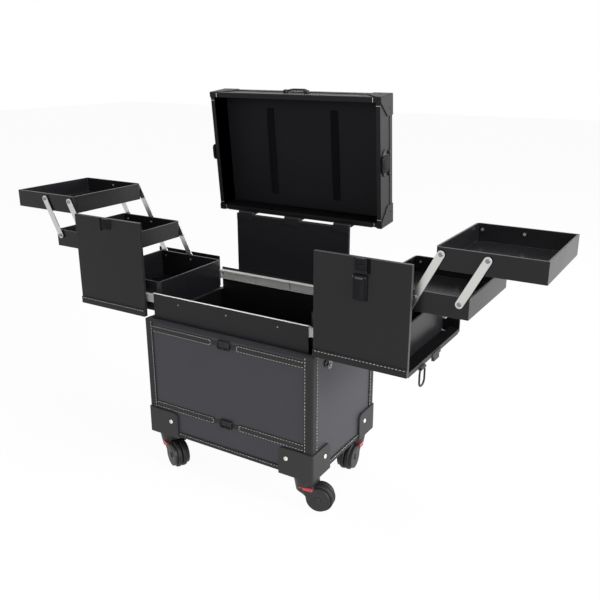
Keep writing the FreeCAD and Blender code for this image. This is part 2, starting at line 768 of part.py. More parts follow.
def rivet(name, x, z, layer):
    """A pivot rivet: shank through arm and tray wall, outer head, inner head and a spacing collar."""
    arm_out = f"({TRAY_FACE} + {layer} * {LAYER})"
    inside = f"({TRAY_FACE} - tray_wall - arm_gap)"
    members = [
        rod(f"{name}_shank", "y", (x, z), "pivot_round", (minus(arm_out), minus(inside))),
        rod(f"{name}_head", "y", (x, z), "pivot_head", (minus(f"{arm_out} + rivet_proud"), minus(arm_out))),
        rod(f"{name}_tail", "y", (x, z), "pivot_head - 0.6", (minus(inside), minus(f"{inside} - 1"))),
    ]
    return members


def arm_pair(label, x, z, layer, far_rivet, near_rivet, shared_hole):
    """Front and back arms that lean outwards from the pivot at x, z to the tray above."""
    bar_in = f"({TRAY_FACE} + {layer} * {LAYER} - arm_thick)"
    bar_out = f"({TRAY_FACE} + {layer} * {LAYER})"
    span = (minus(bar_out), minus(bar_in))
    bar = fuse(
        f"{label}_bar",
        block(f"{label}_middle", both("arm_width / 2"), span, ("0", "arm_length")),
        rod(f"{label}_foot", "y", ("0", "0"), "arm_width / 2", span),
        rod(f"{label}_tip", "y", ("0", "arm_length"), "arm_width / 2", span),
    )
    tip_hole = "pivot_round + running_fit" if shared_hole else "pivot_round"
    through = (minus(f"{bar_out} + 1"), minus(f"{bar_in} - 1"))
    holes = [
        rod(f"{label}_foot_hole", "y", ("0", "0"), "pivot_round", through),
        rod(f"{label}_tip_hole", "y", ("0", "arm_length"), tip_hole, through),
    ]
    plate = cut(f"{label}_plate", bar, *holes)
    plate.Placement = FreeCAD.Placement(FreeCAD.Vector(), FreeCAD.Rotation(FreeCAD.Vector(0, 1, 0), 1))
    tie(plate, "Placement.Rotation.Angle", f"asin({ARM_RUN} / arm_length)")
    place(plate, x, "0", z)
    members = list(front_and_back(f"{label}_plate", plate))
    tip = (f"({x} + {ARM_RUN})", f"({z} + {ARM_RISE})")
    for name, (spot_x, spot_z), collar in (
        (f"{label}_near", (x, z), near_rivet),
        (f"{label}_far", tip, far_rivet),
    ):
        if collar is None:
            continue
        shape = rivet(name, spot_x, spot_z, layer)
        if collar:
            spacer = rod(
                f"{name}_collar",
                "y",
                (spot_x, spot_z),
                "pivot_head",
                (minus(bar_in), minus(f"{TRAY_FACE} + arm_gap")),
            )
            shape.append(spacer)
        members.extend(front_and_back(name, fuse(name, *shape)))
    return keep(label, group(label, *members))


LOW_PIVOT = f"({LOW_RIM} - pivot_drop)"
MIDDLE_PIVOT = f"({MIDDLE_RIM} - pivot_drop)"
PLAIN, COLLAR = False, True
arm_pair("right_lower_outer_arms", f"({TRAY_END} + {THIRD})", LOW_PIVOT, 1, None, PLAIN, True)
arm_pair("right_lower_inner_arms", f"({TRAY_END} + {SECOND})", LOW_PIVOT, 1, PLAIN, PLAIN, False)
arm_pair("right_upper_outer_arms", f"({MIDDLE_END} + {THIRD})", MIDDLE_PIVOT, 2, COLLAR, COLLAR, False)
arm_pair("right_upper_inner_arms", f"({MIDDLE_END} + {SECOND})", MIDDLE_PIVOT, 2, COLLAR, PLAIN, False)

# The left half case mirrors the right one

for part_name in (
    "slide_middles",
    "slide_bars",
    "front_panel",
    "ledge",
    "low_tray",
    "middle_tray",
    "top_tray",
    "lower_outer_arms",
    "lower_inner_arms",
    "upper_outer_arms",
    "upper_inner_arms",
):
    keep(f"left_{part_name}", mirrored(f"left_{part_name}", nodes[f"right_{part_name}"], (1, 0, 0)))

# The left bail is flipped up behind its panel

raised_bail = mirrored("raised_bail", nodes["right_bail"], (0, 0, 1), BAIL_LEVEL)
keep("left_bail", mirrored("left_bail", raised_bail, (1, 0, 0)))

# Panel latches: a catch on each panel, and a lever under the right one

PANEL_MIDDLE = f"({PANEL_END} + panel_length / 2)"
CATCH_FOOT = f"({PANEL_TOP} - catch_height)"
LATCH_FOOT = f"({PANEL_TOP} - latch_drop - latch_height)"


def panel_catch(name):
    """A plate on the upper edge of the panel with a hooked nose."""
    skin = minus(f"{PANEL_FACE}")
    plate = block(
        f"{name}_plate",
        (f"{PANEL_MIDDLE} - catch_width / 2", f"{PANEL_MIDDLE} + catch_width / 2"),
        (f"{skin} - latch_base", skin),
        (CATCH_FOOT, f"{PANEL_TOP}"),
    )
    nose = block(
        f"{name}_nose",
        (f"{PANEL_MIDDLE} - catch_width / 4", f"{PANEL_MIDDLE} + catch_width / 4"),
        (f"{skin} - latch_base - latch_thick / 2", skin),
        (f"{CATCH_FOOT} + catch_height / 4", f"{CATCH_FOOT} + catch_height / 2"),
    )
    return fuse(name, plate, nose)


left_catch = panel_catch("left_catch_master")
keep("left_panel_catch", mirrored("left_panel_catch", left_catch, (1, 0, 0)))
LEVER_PIN = f"({LATCH_FOOT} + latch_height - latch_thick)"
PLATE_SKIN = f"({PANEL_FACE} + latch_base)"
PIN_Y = minus(f"{PLATE_SKIN} + latch_thick / 2")
EAR = "(latch_width / 2 + latch_base)"
lever_base = block(
    "right_latch_base",
    (f"{PANEL_MIDDLE} - {EAR}", f"{PANEL_MIDDLE} + {EAR}"),
    (minus(PLATE_SKIN), minus(PANEL_FACE)),
    (LATCH_FOOT, f"{LEVER_PIN} + latch_thick / 2"),
)
ears = []
for name, side in (("left", "-"), ("right", "+")):
    inner = f"({PANEL_MIDDLE} {side} (latch_width / 2 + slide_gap))"
    outer = f"({PANEL_MIDDLE} {side} {EAR})"
    ears.append(block(
        f"right_latch_ear_{name}",
        (outer, inner) if side == "-" else (inner, outer),
        (minus(f"{PLATE_SKIN} + latch_thick"), minus(PLATE_SKIN)),
        (f"{LEVER_PIN} - latch_thick / 2", f"{LEVER_PIN} + latch_thick / 2"),
    ))
latch_pin = rod(
    "right_latch_pin",
    "x",
    (PIN_Y, LEVER_PIN),
    "pin_round / 2 + 0.5",
    (f"{PANEL_MIDDLE} - {EAR}", f"{PANEL_MIDDLE} + {EAR}"),
)
keep("right_panel_catch", group(
    "right_panel_catch",
    panel_catch("right_catch"),
    fuse("right_latch_mount", lever_base, *ears, latch_pin),
))
lever = Body("right_panel_lever")
lever.add_box(
    (f"{PANEL_MIDDLE} - latch_width / 2", f"{PANEL_MIDDLE} + latch_width / 2"),
    (minus(f"{PLATE_SKIN} + latch_thick"), minus(f"{PLATE_SKIN} + slide_gap")),
    (f"{LATCH_FOOT} + slide_gap", f"{LEVER_PIN} + latch_thick / 2 - slide_gap"),
)
lever.round_edges("latch_thick / 2 - slide_gap * 1.2", lambda middle, along, edge: (
    abs(along.x) > 0.99 and middle.z > worth(LEVER_PIN)
))
lever.cut_rod(
    "x",
    (PIN_Y, LEVER_PIN),
    "pin_round / 2 + 0.5 + running_fit",
    (f"{PANEL_MIDDLE} - latch_width", f"{PANEL_MIDDLE} + latch_width"),
)
keep("right_panel_lever", lever)

# The lid, drawn shut and then turned open about its hinge pin

pin_spot = FreeCAD.Vector(0, worth("hinge_back"), worth(HINGE_LEVEL))
opened = FreeCAD.Placement(
    FreeCAD.Vector(), FreeCAD.Rotation(FreeCAD.Vector(1, 0, 0), -worth("lid_open")), pin_spot
)
LID_CEILING = f"({LID_FOOT} + lid_height)"
LID_MIDDLE = "(lid_back - lid_depth / 2)"

lid = Body("lid_shell")
lid.add_box(both(LID_HALF), (LID_FRONT, "lid_back"), (LID_FOOT, LID_CEILING))
lid.cut_box(
    both(f"{LID_HALF} - lid_wall"),
    (f"{LID_FRONT} + lid_wall", "lid_back - lid_wall"),
    (f"{LID_FOOT} - 1", f"{LID_CEILING} - lid_top"),
)
keep("lid_shell", lid, opened)

CAP_REACH = "(cap_leg - cap_slant + rim_height + knuckle_gap)"
EDGE_REACH = "(cap_leg + knuckle_gap)"
EDGE_SPAN = (f"{LID_CEILING} - rim_height", LID_CEILING)
LID_STRIPS = (
    ("rim", (LID_FOOT, f"{LID_FOOT} + rim_height"), CAP_REACH),
    ("edge", EDGE_SPAN, EDGE_REACH),
)
right_edge = block(
    "edge_right",
    (LID_HALF, f"{LID_HALF} + rim_proud"),
    (f"{LID_FRONT} + {EDGE_REACH}", f"lid_back - {EDGE_REACH}"),
    EDGE_SPAN,
)
lid_strips = [right_edge, mirrored("edge_left", right_edge, (1, 0, 0))]
for name, span, clear in LID_STRIPS:
    across = both(f"{LID_HALF} - {clear}")
    lid_strips.extend([
        block(f"{name}_front", across, (f"{LID_FRONT} - rim_proud", LID_FRONT), span),
        block(f"{name}_back", across, ("lid_back", "lid_back + rim_proud"), span),
    ])
keep("lid_rim", group("lid_rim", *lid_strips), opened)

cap = Body("lid_cap")
cap.add_box(
    (f"{LID_HALF} - cap_leg", f"{LID_HALF} + cap_thick"),
    (f"{LID_FRONT} - cap_thick", f"{LID_FRONT} + cap_leg"),
    (LID_FOOT, f"{LID_CEILING} + cap_thick"),
)
cap.round_edges("cap_thick", lambda middle, along, edge: (
    upright(middle, along, edge)
    and middle.x > worth(LID_HALF)
    and middle.y < worth(LID_FRONT)
))
cap.cut_box(("0", LID_HALF), (LID_FRONT, "lid_back"), (f"{LID_FOOT} - 1", LID_CEILING))
cap.bevel_edges("cap_slant", lambda middle, along, edge: (
    middle.z < worth(LID_FOOT) + 0.1
    and edge.Length < worth("cap_thick") + 0.1
    and edge.Curve.TypeId == "Part::GeomLine"
))
cap_across = mirrored("lid_cap_across", cap.body, (1, 0, 0))
caps = (
    cap.body,
    cap_across,
    mirrored("lid_cap_behind", cap.body, (0, 1, 0), LID_MIDDLE),
    mirrored("lid_cap_opposite", cap_across, (0, 1, 0), LID_MIDDLE),
)
keep("lid_corner_caps", group("lid_corner_caps", *caps), opened)

# Hinges: fixed leaves on the back plate, lid leaves on the lid, and their pins

BACK_SKIN = f"({LINER_SKIN} + back_thick)"
KNUCKLE_INNER = "(hinge_width / 2 - knuckle_share)"
BARREL_CLEAR = "(barrel_round + hinge_sheet)"
fixed_leaves = []
lid_leaves = []
hinge_pins = []
for name, spot in (("left", "-hinge_pitch"), ("middle", "0"), ("right", "hinge_pitch")):
    outer_span = (f"{spot} - hinge_width / 2", f"{spot} + hinge_width / 2")
    inner_span = (
        f"{spot} - {KNUCKLE_INNER} + knuckle_gap",
        f"{spot} + {KNUCKLE_INNER} - knuckle_gap",
    )
    shares = (
        (outer_span[0], f"{spot} - {KNUCKLE_INNER}"),
        (f"{spot} + {KNUCKLE_INNER}", outer_span[1]),
    )
    leaf_y = (BACK_SKIN, f"{BACK_SKIN} + hinge_sheet")
    members = [block(
        f"fixed_leaf_{name}",
        outer_span,
        leaf_y,
        (f"{HINGE_LEVEL} - hinge_leaf", f"{HINGE_LEVEL} - {BARREL_CLEAR}"),
    )]
    for number, share in enumerate(shares):
        members.append(block(
            f"fixed_tab_{name}_{number}", share, leaf_y, (f"{HINGE_LEVEL} - {BARREL_CLEAR}", HINGE_LEVEL)
        ))
        members.append(rod(
            f"fixed_knuckle_{name}_{number}", "x", ("hinge_back", HINGE_LEVEL), "barrel_round", share
        ))
    bore = rod(f"fixed_bore_{name}", "x", ("hinge_back", HINGE_LEVEL), "pin_round", outer_span)
    fixed_leaves.append(cut(f"fixed_leaf_{name}_whole", fuse(f"fixed_leaf_{name}_body", *members), bore))

    lid_y = ("lid_back + rim_proud", "lid_back + rim_proud + hinge_sheet")
    lid_members = [
        block(
            f"lid_leaf_{name}",
            outer_span,
            lid_y,
            (f"{HINGE_LEVEL} + {BARREL_CLEAR}", f"{LID_FOOT} + hinge_leaf"),
        ),
        block(
            f"lid_tab_{name}", inner_span, lid_y, (HINGE_LEVEL, f"{HINGE_LEVEL} + {BARREL_CLEAR}")
        ),
        rod(f"lid_knuckle_{name}", "x", ("hinge_back", HINGE_LEVEL), "barrel_round", inner_span),
    ]
    lid_bore = rod(
        f"lid_bore_{name}", "x", ("hinge_back", HINGE_LEVEL), "pin_round + running_fit", outer_span
    )
    lid_leaves.append(cut(f"lid_leaf_{name}_whole", fuse(f"lid_leaf_{name}_body", *lid_members), lid_bore))
    hinge_pins.append(rod(
        f"hinge_pin_{name}", "x", ("hinge_back", HINGE_LEVEL), "pin_round", outer_span
    ))
keep("hinge_fixed_leaves", group("hinge_fixed_leaves", *fixed_leaves))
keep("hinge_pins", group("hinge_pins", *hinge_pins))
keep("hinge_lid_leaves", group("hinge_lid_leaves", *lid_leaves), opened)

# Lid fittings: a folding handle on the front wall and a latch on each side wall

GRIP_LEVEL = f"({LID_FOOT} + lid_height / 2)"
GRIP_HALF = "(grip_width / 2 - grip_round)"
GRIP_Y = f"({LID_FRONT} - latch_base - grip_round)"
handle_mounts = []
for name, side in (("left", "-"), ("right", "+")):
    mount_span = (
        f"{side}({GRIP_HALF}) - grip_round * 2 {'-' if side == '-' else '+'} grip_round * 3",
        f"{side}({GRIP_HALF}) + grip_round * 2 {'-' if side == '-' else '+'} grip_round * 3",
    )
    handle_mounts.append(cut(
        f"handle_mount_{name}",
        block(
            f"handle_mount_{name}_body",
            mount_span,
            (f"{GRIP_Y} - grip_round", LID_FRONT),
            (f"{GRIP_LEVEL} - grip_round * 2", f"{GRIP_LEVEL} + grip_round * 2"),
        ),
        rod(
            f"handle_mount_{name}_bore",
            "x",
            (GRIP_Y, GRIP_LEVEL),
            "grip_round / 2 + running_fit",
            (f"{mount_span[0]} - 1", f"{mount_span[1]} + 1"),
        ),
    ))
LATCH_LEVEL = f"({LID_FOOT} + lid_latch_place)"
LATCH_SKIN = f"({LID_HALF} + latch_base)"
LATCH_PIN_X = f"({LATCH_SKIN} + latch_thick / 2)"
LATCH_PIN_Z = f"({LATCH_LEVEL} + lid_latch_width / 2)"
latch_mount = fuse(
    "lid_latch_mount",
    block(
        "lid_latch_plate",
        (LID_HALF, LATCH_SKIN),
        (f"{LID_MIDDLE} - lid_latch_length / 2", f"{LID_MIDDLE} + lid_latch_length / 2"),
        (f"{LATCH_LEVEL} - lid_latch_width / 2", f"{LATCH_PIN_Z} + latch_thick / 2"),
    ),
    *[
        block(
            f"lid_latch_ear_{name}",
            (LATCH_SKIN, f"{LATCH_SKIN} + latch_thick"),
            span,
            (f"{LATCH_PIN_Z} - latch_thick / 2", f"{LATCH_PIN_Z} + latch_thick / 2"),
        )
        for name, span in (
            ("front", (f"{LID_MIDDLE} - lid_latch_length / 2", f"{LID_MIDDLE} - lid_latch_length / 3")),
            ("back", (f"{LID_MIDDLE} + lid_latch_length / 3", f"{LID_MIDDLE} + lid_latch_length / 2")),
        )
    ],
    rod(
        "lid_latch_pin",
        "y",
        (LATCH_PIN_X, LATCH_PIN_Z),
        "pin_round",
        (f"{LID_MIDDLE} - lid_latch_length / 2", f"{LID_MIDDLE} + lid_latch_length / 2"),
    ),
)
keep("lid_fittings", group(
    "lid_fittings", *handle_mounts, latch_mount, mirrored("lid_latch_mount_across", latch_mount, (1, 0, 0))
), opened)

TRUNNION = "(grip_round / 2)"
GRIP_BOW = f"({GRIP_LEVEL} + grip_reach)"
grip_members = [
    rod("grip_bow", "x", (GRIP_Y, GRIP_BOW), "grip_round", both(GRIP_HALF)),
]
for name, side in (("left", "-"), ("right", "+")):
    arm_x = f"{side}({GRIP_HALF})"
    pin_end = f"{side}({GRIP_HALF} + grip_round * 4)"
    grip_members.append(rod(
        f"grip_arm_{name}", "z", (arm_x, GRIP_Y), "grip_round * 0.8", (GRIP_LEVEL, GRIP_BOW)
    ))
    grip_members.append(rod(
        f"grip_pin_{name}",
        "x",
        (GRIP_Y, GRIP_LEVEL),
        TRUNNION,
        (pin_end, arm_x) if side == "-" else (arm_x, pin_end),
    ))
    elbow = doc.addObject("Part::Sphere", f"grip_elbow_{name}")
    tie(elbow, "Radius", "grip_round")
    place(elbow, arm_x, GRIP_Y, GRIP_BOW)
    grip_members.append(elbow)
keep("lid_handle", fuse("lid_handle", *grip_members), opened)

lid_lever = Body("right_lid_latch")
lid_lever.add_box(
    (f"{LATCH_SKIN} + slide_gap", f"{LATCH_SKIN} + latch_thick"),
    (f"{LID_MIDDLE} - lid_latch_length / 3 + slide_gap", f"{LID_MIDDLE} + lid_latch_length / 3 - slide_gap"),
    (f"{LATCH_LEVEL} - lid_latch_width", f"{LATCH_PIN_Z} + latch_thick / 2 - slide_gap"),
)
lid_lever.round_edges("latch_thick / 2 - slide_gap * 1.2", lambda middle, along, edge: (
    abs(along.y) > 0.99 and middle.z > worth(LATCH_PIN_Z)
))
lid_lever.cut_rod(
    "y",
    (LATCH_PIN_X, LATCH_PIN_Z),
    "pin_round + running_fit",
    (f"{LID_MIDDLE} - lid_latch_length", f"{LID_MIDDLE} + lid_latch_length"),
)
lever_copy = group("right_lid_latch_shut", lid_lever.body)
keep("right_lid_latch", group("right_lid_latch_opened", lever_copy), opened)
keep("left_lid_latch", group(
    "left_lid_latch_opened", mirrored("left_lid_latch_shut", lever_copy, (1, 0, 0))
), opened)

# Casters: drawn about the stem with the wheel trailing along +X, then set down at each corner

AXLE = ("wheel_trail", "wheel_round")
LEG_INNER = f"({WHEEL_OUTER} + wheel_gap)"
LEG_OUTER = f"({LEG_INNER} + leg_thick)"
NECK_NARROW = "(neck_round - neck_taper)"


def cone(name, foot_radius, top_radius, foot, height):
    made = doc.addObject("Part::Cone", name)
    tie(made, "Radius1", foot_radius)
    tie(made, "Radius2", top_radius)
    tie(made, "Height", height)
    place(made, "0", "0", foot)
    return made


legs = doc.addObject("Part::Wedge", "fork_legs")
legs.Placement = FreeCAD.Placement(FreeCAD.Vector(), FreeCAD.Rotation(FreeCAD.Vector(1, 0, 0), 90))
for prop, expression in (
    ("Xmin", "wheel_trail - leg_round * 0.96"),
    ("Xmax", "wheel_trail + leg_round * 0.9"),
    ("X2min", f"-{NECK_NARROW} * 0.7"),
    ("X2max", f"{NECK_NARROW} * 0.7"),
    ("Ymin", "wheel_round"),
    ("Ymax", "wheel_round + leg_rise"),
    ("Zmin", f"-{LEG_OUTER}"),
    ("Zmax", LEG_OUTER),
    ("Z2min", f"-{NECK_NARROW} * 0.86"),
    ("Z2max", f"{NECK_NARROW} * 0.86"),
):
    tie(legs, prop, expression)
LOCK_OUTER = f"({NECK_NARROW} + lock_proud)"
LOCK_INNER = f"({LOCK_OUTER} - lock_thick)"
LOCK_SPAN = ("lock_width * -0.45", "lock_width * 0.2")
LOCK_RISE = ("lock_level + lock_height * 0.3", "lock_level + lock_height * 0.9")
pocket = block(
    "fork_pocket",
    ("lock_gap * -2", "lock_width + lock_gap * 2"),
    (f"{LOCK_INNER} - lock_travel", "neck_round + 1"),
    ("lock_level - lock_gap * 2", "lock_level + lock_height + lock_gap * 2"),
)
fork = cut(
    "fork_master",
    fuse(
        "fork_whole",
        rod("fork_stem", "z", ("0", "0"), "stem_round", (NECK_FOOT, "ground_clear - neck_gap")),
        cone("fork_neck", NECK_NARROW, "neck_round", NECK_FOOT, "neck_height"),
        cone("fork_nose", "nose_round", NECK_NARROW, f"{NECK_FOOT} - nose_drop", "nose_drop"),
        legs,
        rod("fork_ends", "y", AXLE, "leg_round", both(LEG_OUTER)),
    ),
    rod("wheel_room", "y", AXLE, "wheel_round + fork_gap", both(LEG_INNER)),
    rod("fork_bore", "y", AXLE, "axle_round + running_fit", both(f"{LEG_OUTER} + 1")),
    block(
        "fork_slot",
        (f"{LOCK_SPAN[0]} - lock_gap", f"{LOCK_SPAN[1]} + lock_gap"),
        both("neck_round + 1"),
        (f"{LOCK_RISE[0]} - lock_gap", f"{LOCK_RISE[1]} + lock_gap"),
    ),
    pocket,
    mirrored("fork_pocket_behind", pocket, (0, 1, 0)),
)
wheel = Body("wheel_master")
wheel.add_rod("y", AXLE, "wheel_round", (WHEEL_INNER, WHEEL_OUTER))
wheel.round_edges("tread_round", lambda middle, along, edge: edge.Curve.TypeId == "Part::GeomCircle")
wheel.cut_rod("y", AXLE, "hub_round", (f"{WHEEL_OUTER} - hub_depth", f"{WHEEL_OUTER} + 1"))
wheel.cut_rod("y", AXLE, "axle_round", (f"{WHEEL_INNER} - 1", f"{WHEEL_OUTER} + 1"))
axle_head = rod(
    "axle_head", "y", AXLE, "axle_round * 1.7", (f"{LEG_OUTER} + slide_gap", f"{LEG_OUTER} + rivet_proud")
)
axle = fuse(
    "axle_master",
    rod("axle_rod", "y", AXLE, "axle_round", both(f"{LEG_OUTER} + rivet_proud / 2")),
    axle_head,
    mirrored("axle_head_behind", axle_head, (0, 1, 0)),
)
wheels = (wheel.body, mirrored("wheel_behind", wheel.body, (0, 1, 0)), axle)
pad = block(
    "lock_pad", ("0", "lock_width"), (LOCK_INNER, LOCK_OUTER), ("lock_level", "lock_level + lock_height")
)
lock = fuse(
    "lock_master",
    block("lock_bar", LOCK_SPAN, both(f"{LOCK_OUTER} - lock_thick / 2"), LOCK_RISE),
    pad,
    mirrored("lock_pad_behind", pad, (0, 1, 0)),
)
for corner, side_x, side_y in (
    ("front_right", "", "-"),
    ("front_left", "-", "-"),
    ("rear_right", "", ""),
    ("rear_left", "-", ""),
):
    for kind, members in (("fork", (fork,)), ("wheels", wheels), ("lock", (lock,))):
        label = f"caster_{kind}_{corner}"
        copy = keep(label, group(label, *members))
        copy.Placement = FreeCAD.Placement(FreeCAD.Vector(), FreeCAD.Rotation(FreeCAD.Vector(0, 0, 1), 1))
        tie(copy, "Placement.Rotation.Angle", f"swivel_{corner}")
        place(copy, f"{side_x}{STEM_X}", f"{side_y}{STEM_Y}", "0")

# Build, check and write every sub-part

doc.recompute()
for thing in doc.Objects:
    bad = [word for word in thing.State if word in ("Invalid", "Error")]
    if bad:
        raise RuntimeError(f"{thing.Label} is {bad}")
os.makedirs("parts", exist_ok=True)
for label, thing in nodes.items():
    if thing.Shape.isNull() or not thing.Shape.isValid() or not thing.Shape.Solids:
        raise RuntimeError(f"{label} has no valid solid")
    thing.Shape.exportStep(os.path.join("parts", f"{label}.step"))
print(len(nodes), "sub-parts")
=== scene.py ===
import json
import math

import bmesh
import bpy
import numpy as np
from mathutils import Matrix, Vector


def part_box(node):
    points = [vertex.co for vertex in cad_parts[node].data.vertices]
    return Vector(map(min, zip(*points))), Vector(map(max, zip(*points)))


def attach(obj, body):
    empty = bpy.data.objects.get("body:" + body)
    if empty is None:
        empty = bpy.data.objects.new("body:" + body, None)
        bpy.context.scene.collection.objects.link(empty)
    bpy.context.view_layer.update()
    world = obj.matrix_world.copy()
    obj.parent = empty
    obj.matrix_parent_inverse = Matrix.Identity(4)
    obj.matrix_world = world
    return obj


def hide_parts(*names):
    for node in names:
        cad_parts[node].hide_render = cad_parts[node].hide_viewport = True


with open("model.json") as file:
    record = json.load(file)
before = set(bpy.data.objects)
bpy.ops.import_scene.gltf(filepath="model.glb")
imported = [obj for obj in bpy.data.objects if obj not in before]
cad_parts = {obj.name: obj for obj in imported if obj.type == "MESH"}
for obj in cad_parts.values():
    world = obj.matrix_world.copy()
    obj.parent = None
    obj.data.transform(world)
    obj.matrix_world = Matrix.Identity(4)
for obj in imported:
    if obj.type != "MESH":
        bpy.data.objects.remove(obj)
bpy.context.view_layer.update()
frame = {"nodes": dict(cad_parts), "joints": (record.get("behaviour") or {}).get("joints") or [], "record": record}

bl_info = {
    "name": "Makeup train case",
    "version": (1, 0, 0),
    "blender": (4, 5, 0),
    "location": "View3D > Sidebar > Train case",
    "description": "Dresses the packed makeup train case with coverings, stitching, fittings and a stage",
    "category": "Object",
}

NODES = frame["nodes"]
JOINTS = {joint["name"]: joint for joint in frame["joints"]}
SIDES = {"right": 1, "left": -1}
X, Y, Z = range(3)

# Directions of a face: along it, up it, and out of it
FRONT = ((1, 0, 0), (0, 0, 1), (0, -1, 0))
BACK = ((-1, 0, 0), (0, 0, 1), (0, 1, 0))
RIGHT = ((0, 1, 0), (0, 0, 1), (1, 0, 0))
LEFT = ((0, -1, 0), (0, 0, 1), (-1, 0, 0))
UPWARD = ((1, 0, 0), (0, 1, 0), (0, 0, 1))
DOWNWARD = ((1, 0, 0), (0, 1, 0), (0, 0, -1))
SIDE_FACES = {1: RIGHT, -1: LEFT}
END_FACES = {-1: FRONT, 1: BACK}


# Places on the case, in millimetres

def mm(metres):
    """Millimetres from metres."""
    return metres * 1000


def span(node, axis):
    """The lowest and the highest place of a CAD node along an axis."""
    return [round(mm(corner[axis]), 3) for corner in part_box(node)]


def pivot(joint):
    """A point on a joint's axis."""
    return mm(np.array(JOINTS[joint]["pos_m"], float))


BOX_SIDE = span("case_shell", X)[1]
BOX_FACE = span("case_shell", Y)[1]
TRIM_SIDE = span("edge_trims", X)[1]
TRIM_FACE = span("edge_trims", Y)[1]
BUMPER_SIDE = span("corner_bumpers", X)[1]
BUMPER_FACE = span("corner_bumpers", Y)[1]
LINER_END = span("liner_walls", X)[1]
LINER_FACE = span("liner_walls", Y)[1]
LINER_TOP = span("liner_walls", Z)[1]
SLIDE_TOP = span("slide_channels", Z)[1]
BACK_PLATE_END = span("back_plate", X)[1]
BACK_PLATE_FACE = span("back_plate", Y)[0]
BACK_PLATE_TOP = span("back_plate", Z)[1]
PANEL_INNER, PANEL_OUTER = span("right_front_panel", X)
PANEL_HEM_FACE = span("right_front_panel", Y)[0]
PANEL_FOOT, PANEL_TOP = span("right_front_panel", Z)
BAND_LEVELS = (285.5, 131.5)
BAND_SPAN = (27.0, 165.0)

# The shut lid, on which the lid's pieces are drawn before they are turned open
LID_PIN_Y, LID_PIN_Z = pivot("lid_hinge")[1:]
LID_TURN = math.radians(JOINTS["lid_hinge"]["range_deg"][1])
LID_SIDE = span("lid_shell", X)[1]
LID_FRONT = -116.0
LID_BACK = 114.0
LID_MIDDLE = (LID_FRONT + LID_BACK) / 2
LID_WALL = 7.5
LID_UNDER = 483.0
LID_CEILING = 523.0
LID_INNER_SIDE = LID_SIDE - LID_WALL
LID_INNER_FRONT = LID_FRONT + LID_WALL
LID_INNER_BACK = LID_BACK - LID_WALL

# Where a covering gives way to a lining, or on the halves' outer ends to the painted highlight grey; the box's
# cavity by its half width, half depth and floor
BOX_CAVITY = (171.5, 106.5, 82.5)
LINER_INNER_FACE = 103.7
HALF_END = PANEL_OUTER - 0.4
LID_MARGIN = 0.5

# Finish of a CAD node: its own, or else that of its material slot
NODE_FINISHES = {
    "case_shell": "box_leather",
    "edge_trims": "trim",
    # The lid rim takes the panels' leather for its stronger painted highlight along the edges
    "lid_rim": "leather",
    "lid_corner_caps": "leather",
    "back_plate": "pad",
    "lid_shell": "lid_leather",
    "liner_walls": "liner",
    "corner_bumpers": "plastic",
    "slide_channels": "rail",
    **{f"{side}_ledge": "ledge" for side in SIDES},
    **{f"{side}_slide_middles": "rail" for side in SIDES},
    **{f"{side}_slide_bars": "rail" for side in SIDES},
}
SLOT_FINISHES = {
    "black_leather": "leather",
    "black_board": "trim",
    "tray_board": "tray",
    "satin_steel": "steel",
    "dark_metal": "lacquer",
    "black_plastic": "plastic",
    "wheel_rubber": "rubber",
    "red_plastic": "signal",
}

# The stage, in metres, watts and degrees
FLOOR_REACH = 9.0
FLOOR_GREY = 0.95
FLOOR_GLOW = 0.96
SKY_STRENGTH = 0.14
WHITE = (1.0, 1.0, 1.0, 1.0)
LAMPS = (
    {"name": "key", "place": (2.9, -0.35, 1.6), "aim": (0.1, 0.0, 0.35), "size": 1.2, "power": 92.0},
    {"name": "fill", "place": (0.8, -2.6, 1.2), "aim": (0.0, 0.0, 0.3), "size": 1.6, "power": 29.0},
    {"name": "rim", "place": (2.3, 1.9, 0.9), "aim": (0.2, 0.0, 0.4), "size": 1.2, "power": 40.0},
    {"name": "top", "place": (0.2, 0.2, 3.0), "aim": (0.0, 0.0, 0.3), "size": 1.4, "power": 38.0},
)
CAMERA_PLACE = (0.7279, -1.0513, 0.7636)
CAMERA_TILT = 71.5
CAMERA_HEADING = 31.4
CAMERA_LENS = 43.54
CAMERA_SENSOR = 36.0


# Sizes and colours that a user would change

def length(name, description, default):
    """A property for a length in metres."""
    return bpy.props.FloatProperty(
        name=name, description=description, default=default, min=0.0, unit="LENGTH", precision=4
    )


def colour(name, description, default):
    """A property for a colour."""
    return bpy.props.FloatVectorProperty(
        name=name, description=description, default=default, size=3, min=0.0, max=1.0, subtype="COLOR"
    )


class TrainCaseSizes(bpy.types.PropertyGroup):
    """Sizes of the dressing."""

    stitch_length: length("Stitch length", "Length of one stitch", 0.0038)
    stitch_pitch: length("Stitch pitch", "From one stitch to the next", 0.0060)
    stitch_width: length("Stitch width", "Thickness of the thread", 0.0010)
    band_width: length("Band width", "Width of the front bands", 0.0130)
    band_thick: length("Band thickness", "How far the front bands stand proud", 0.0016)
    rivet_radius: length("Rivet radius", "Radius of the bumper rivets", 0.0041)
    rivet_dome: length("Rivet dome", "Height of the bumper rivets", 0.0024)
    lid_strap_width: length("Lid strap width", "Width of the straps in the lid", 0.0150)


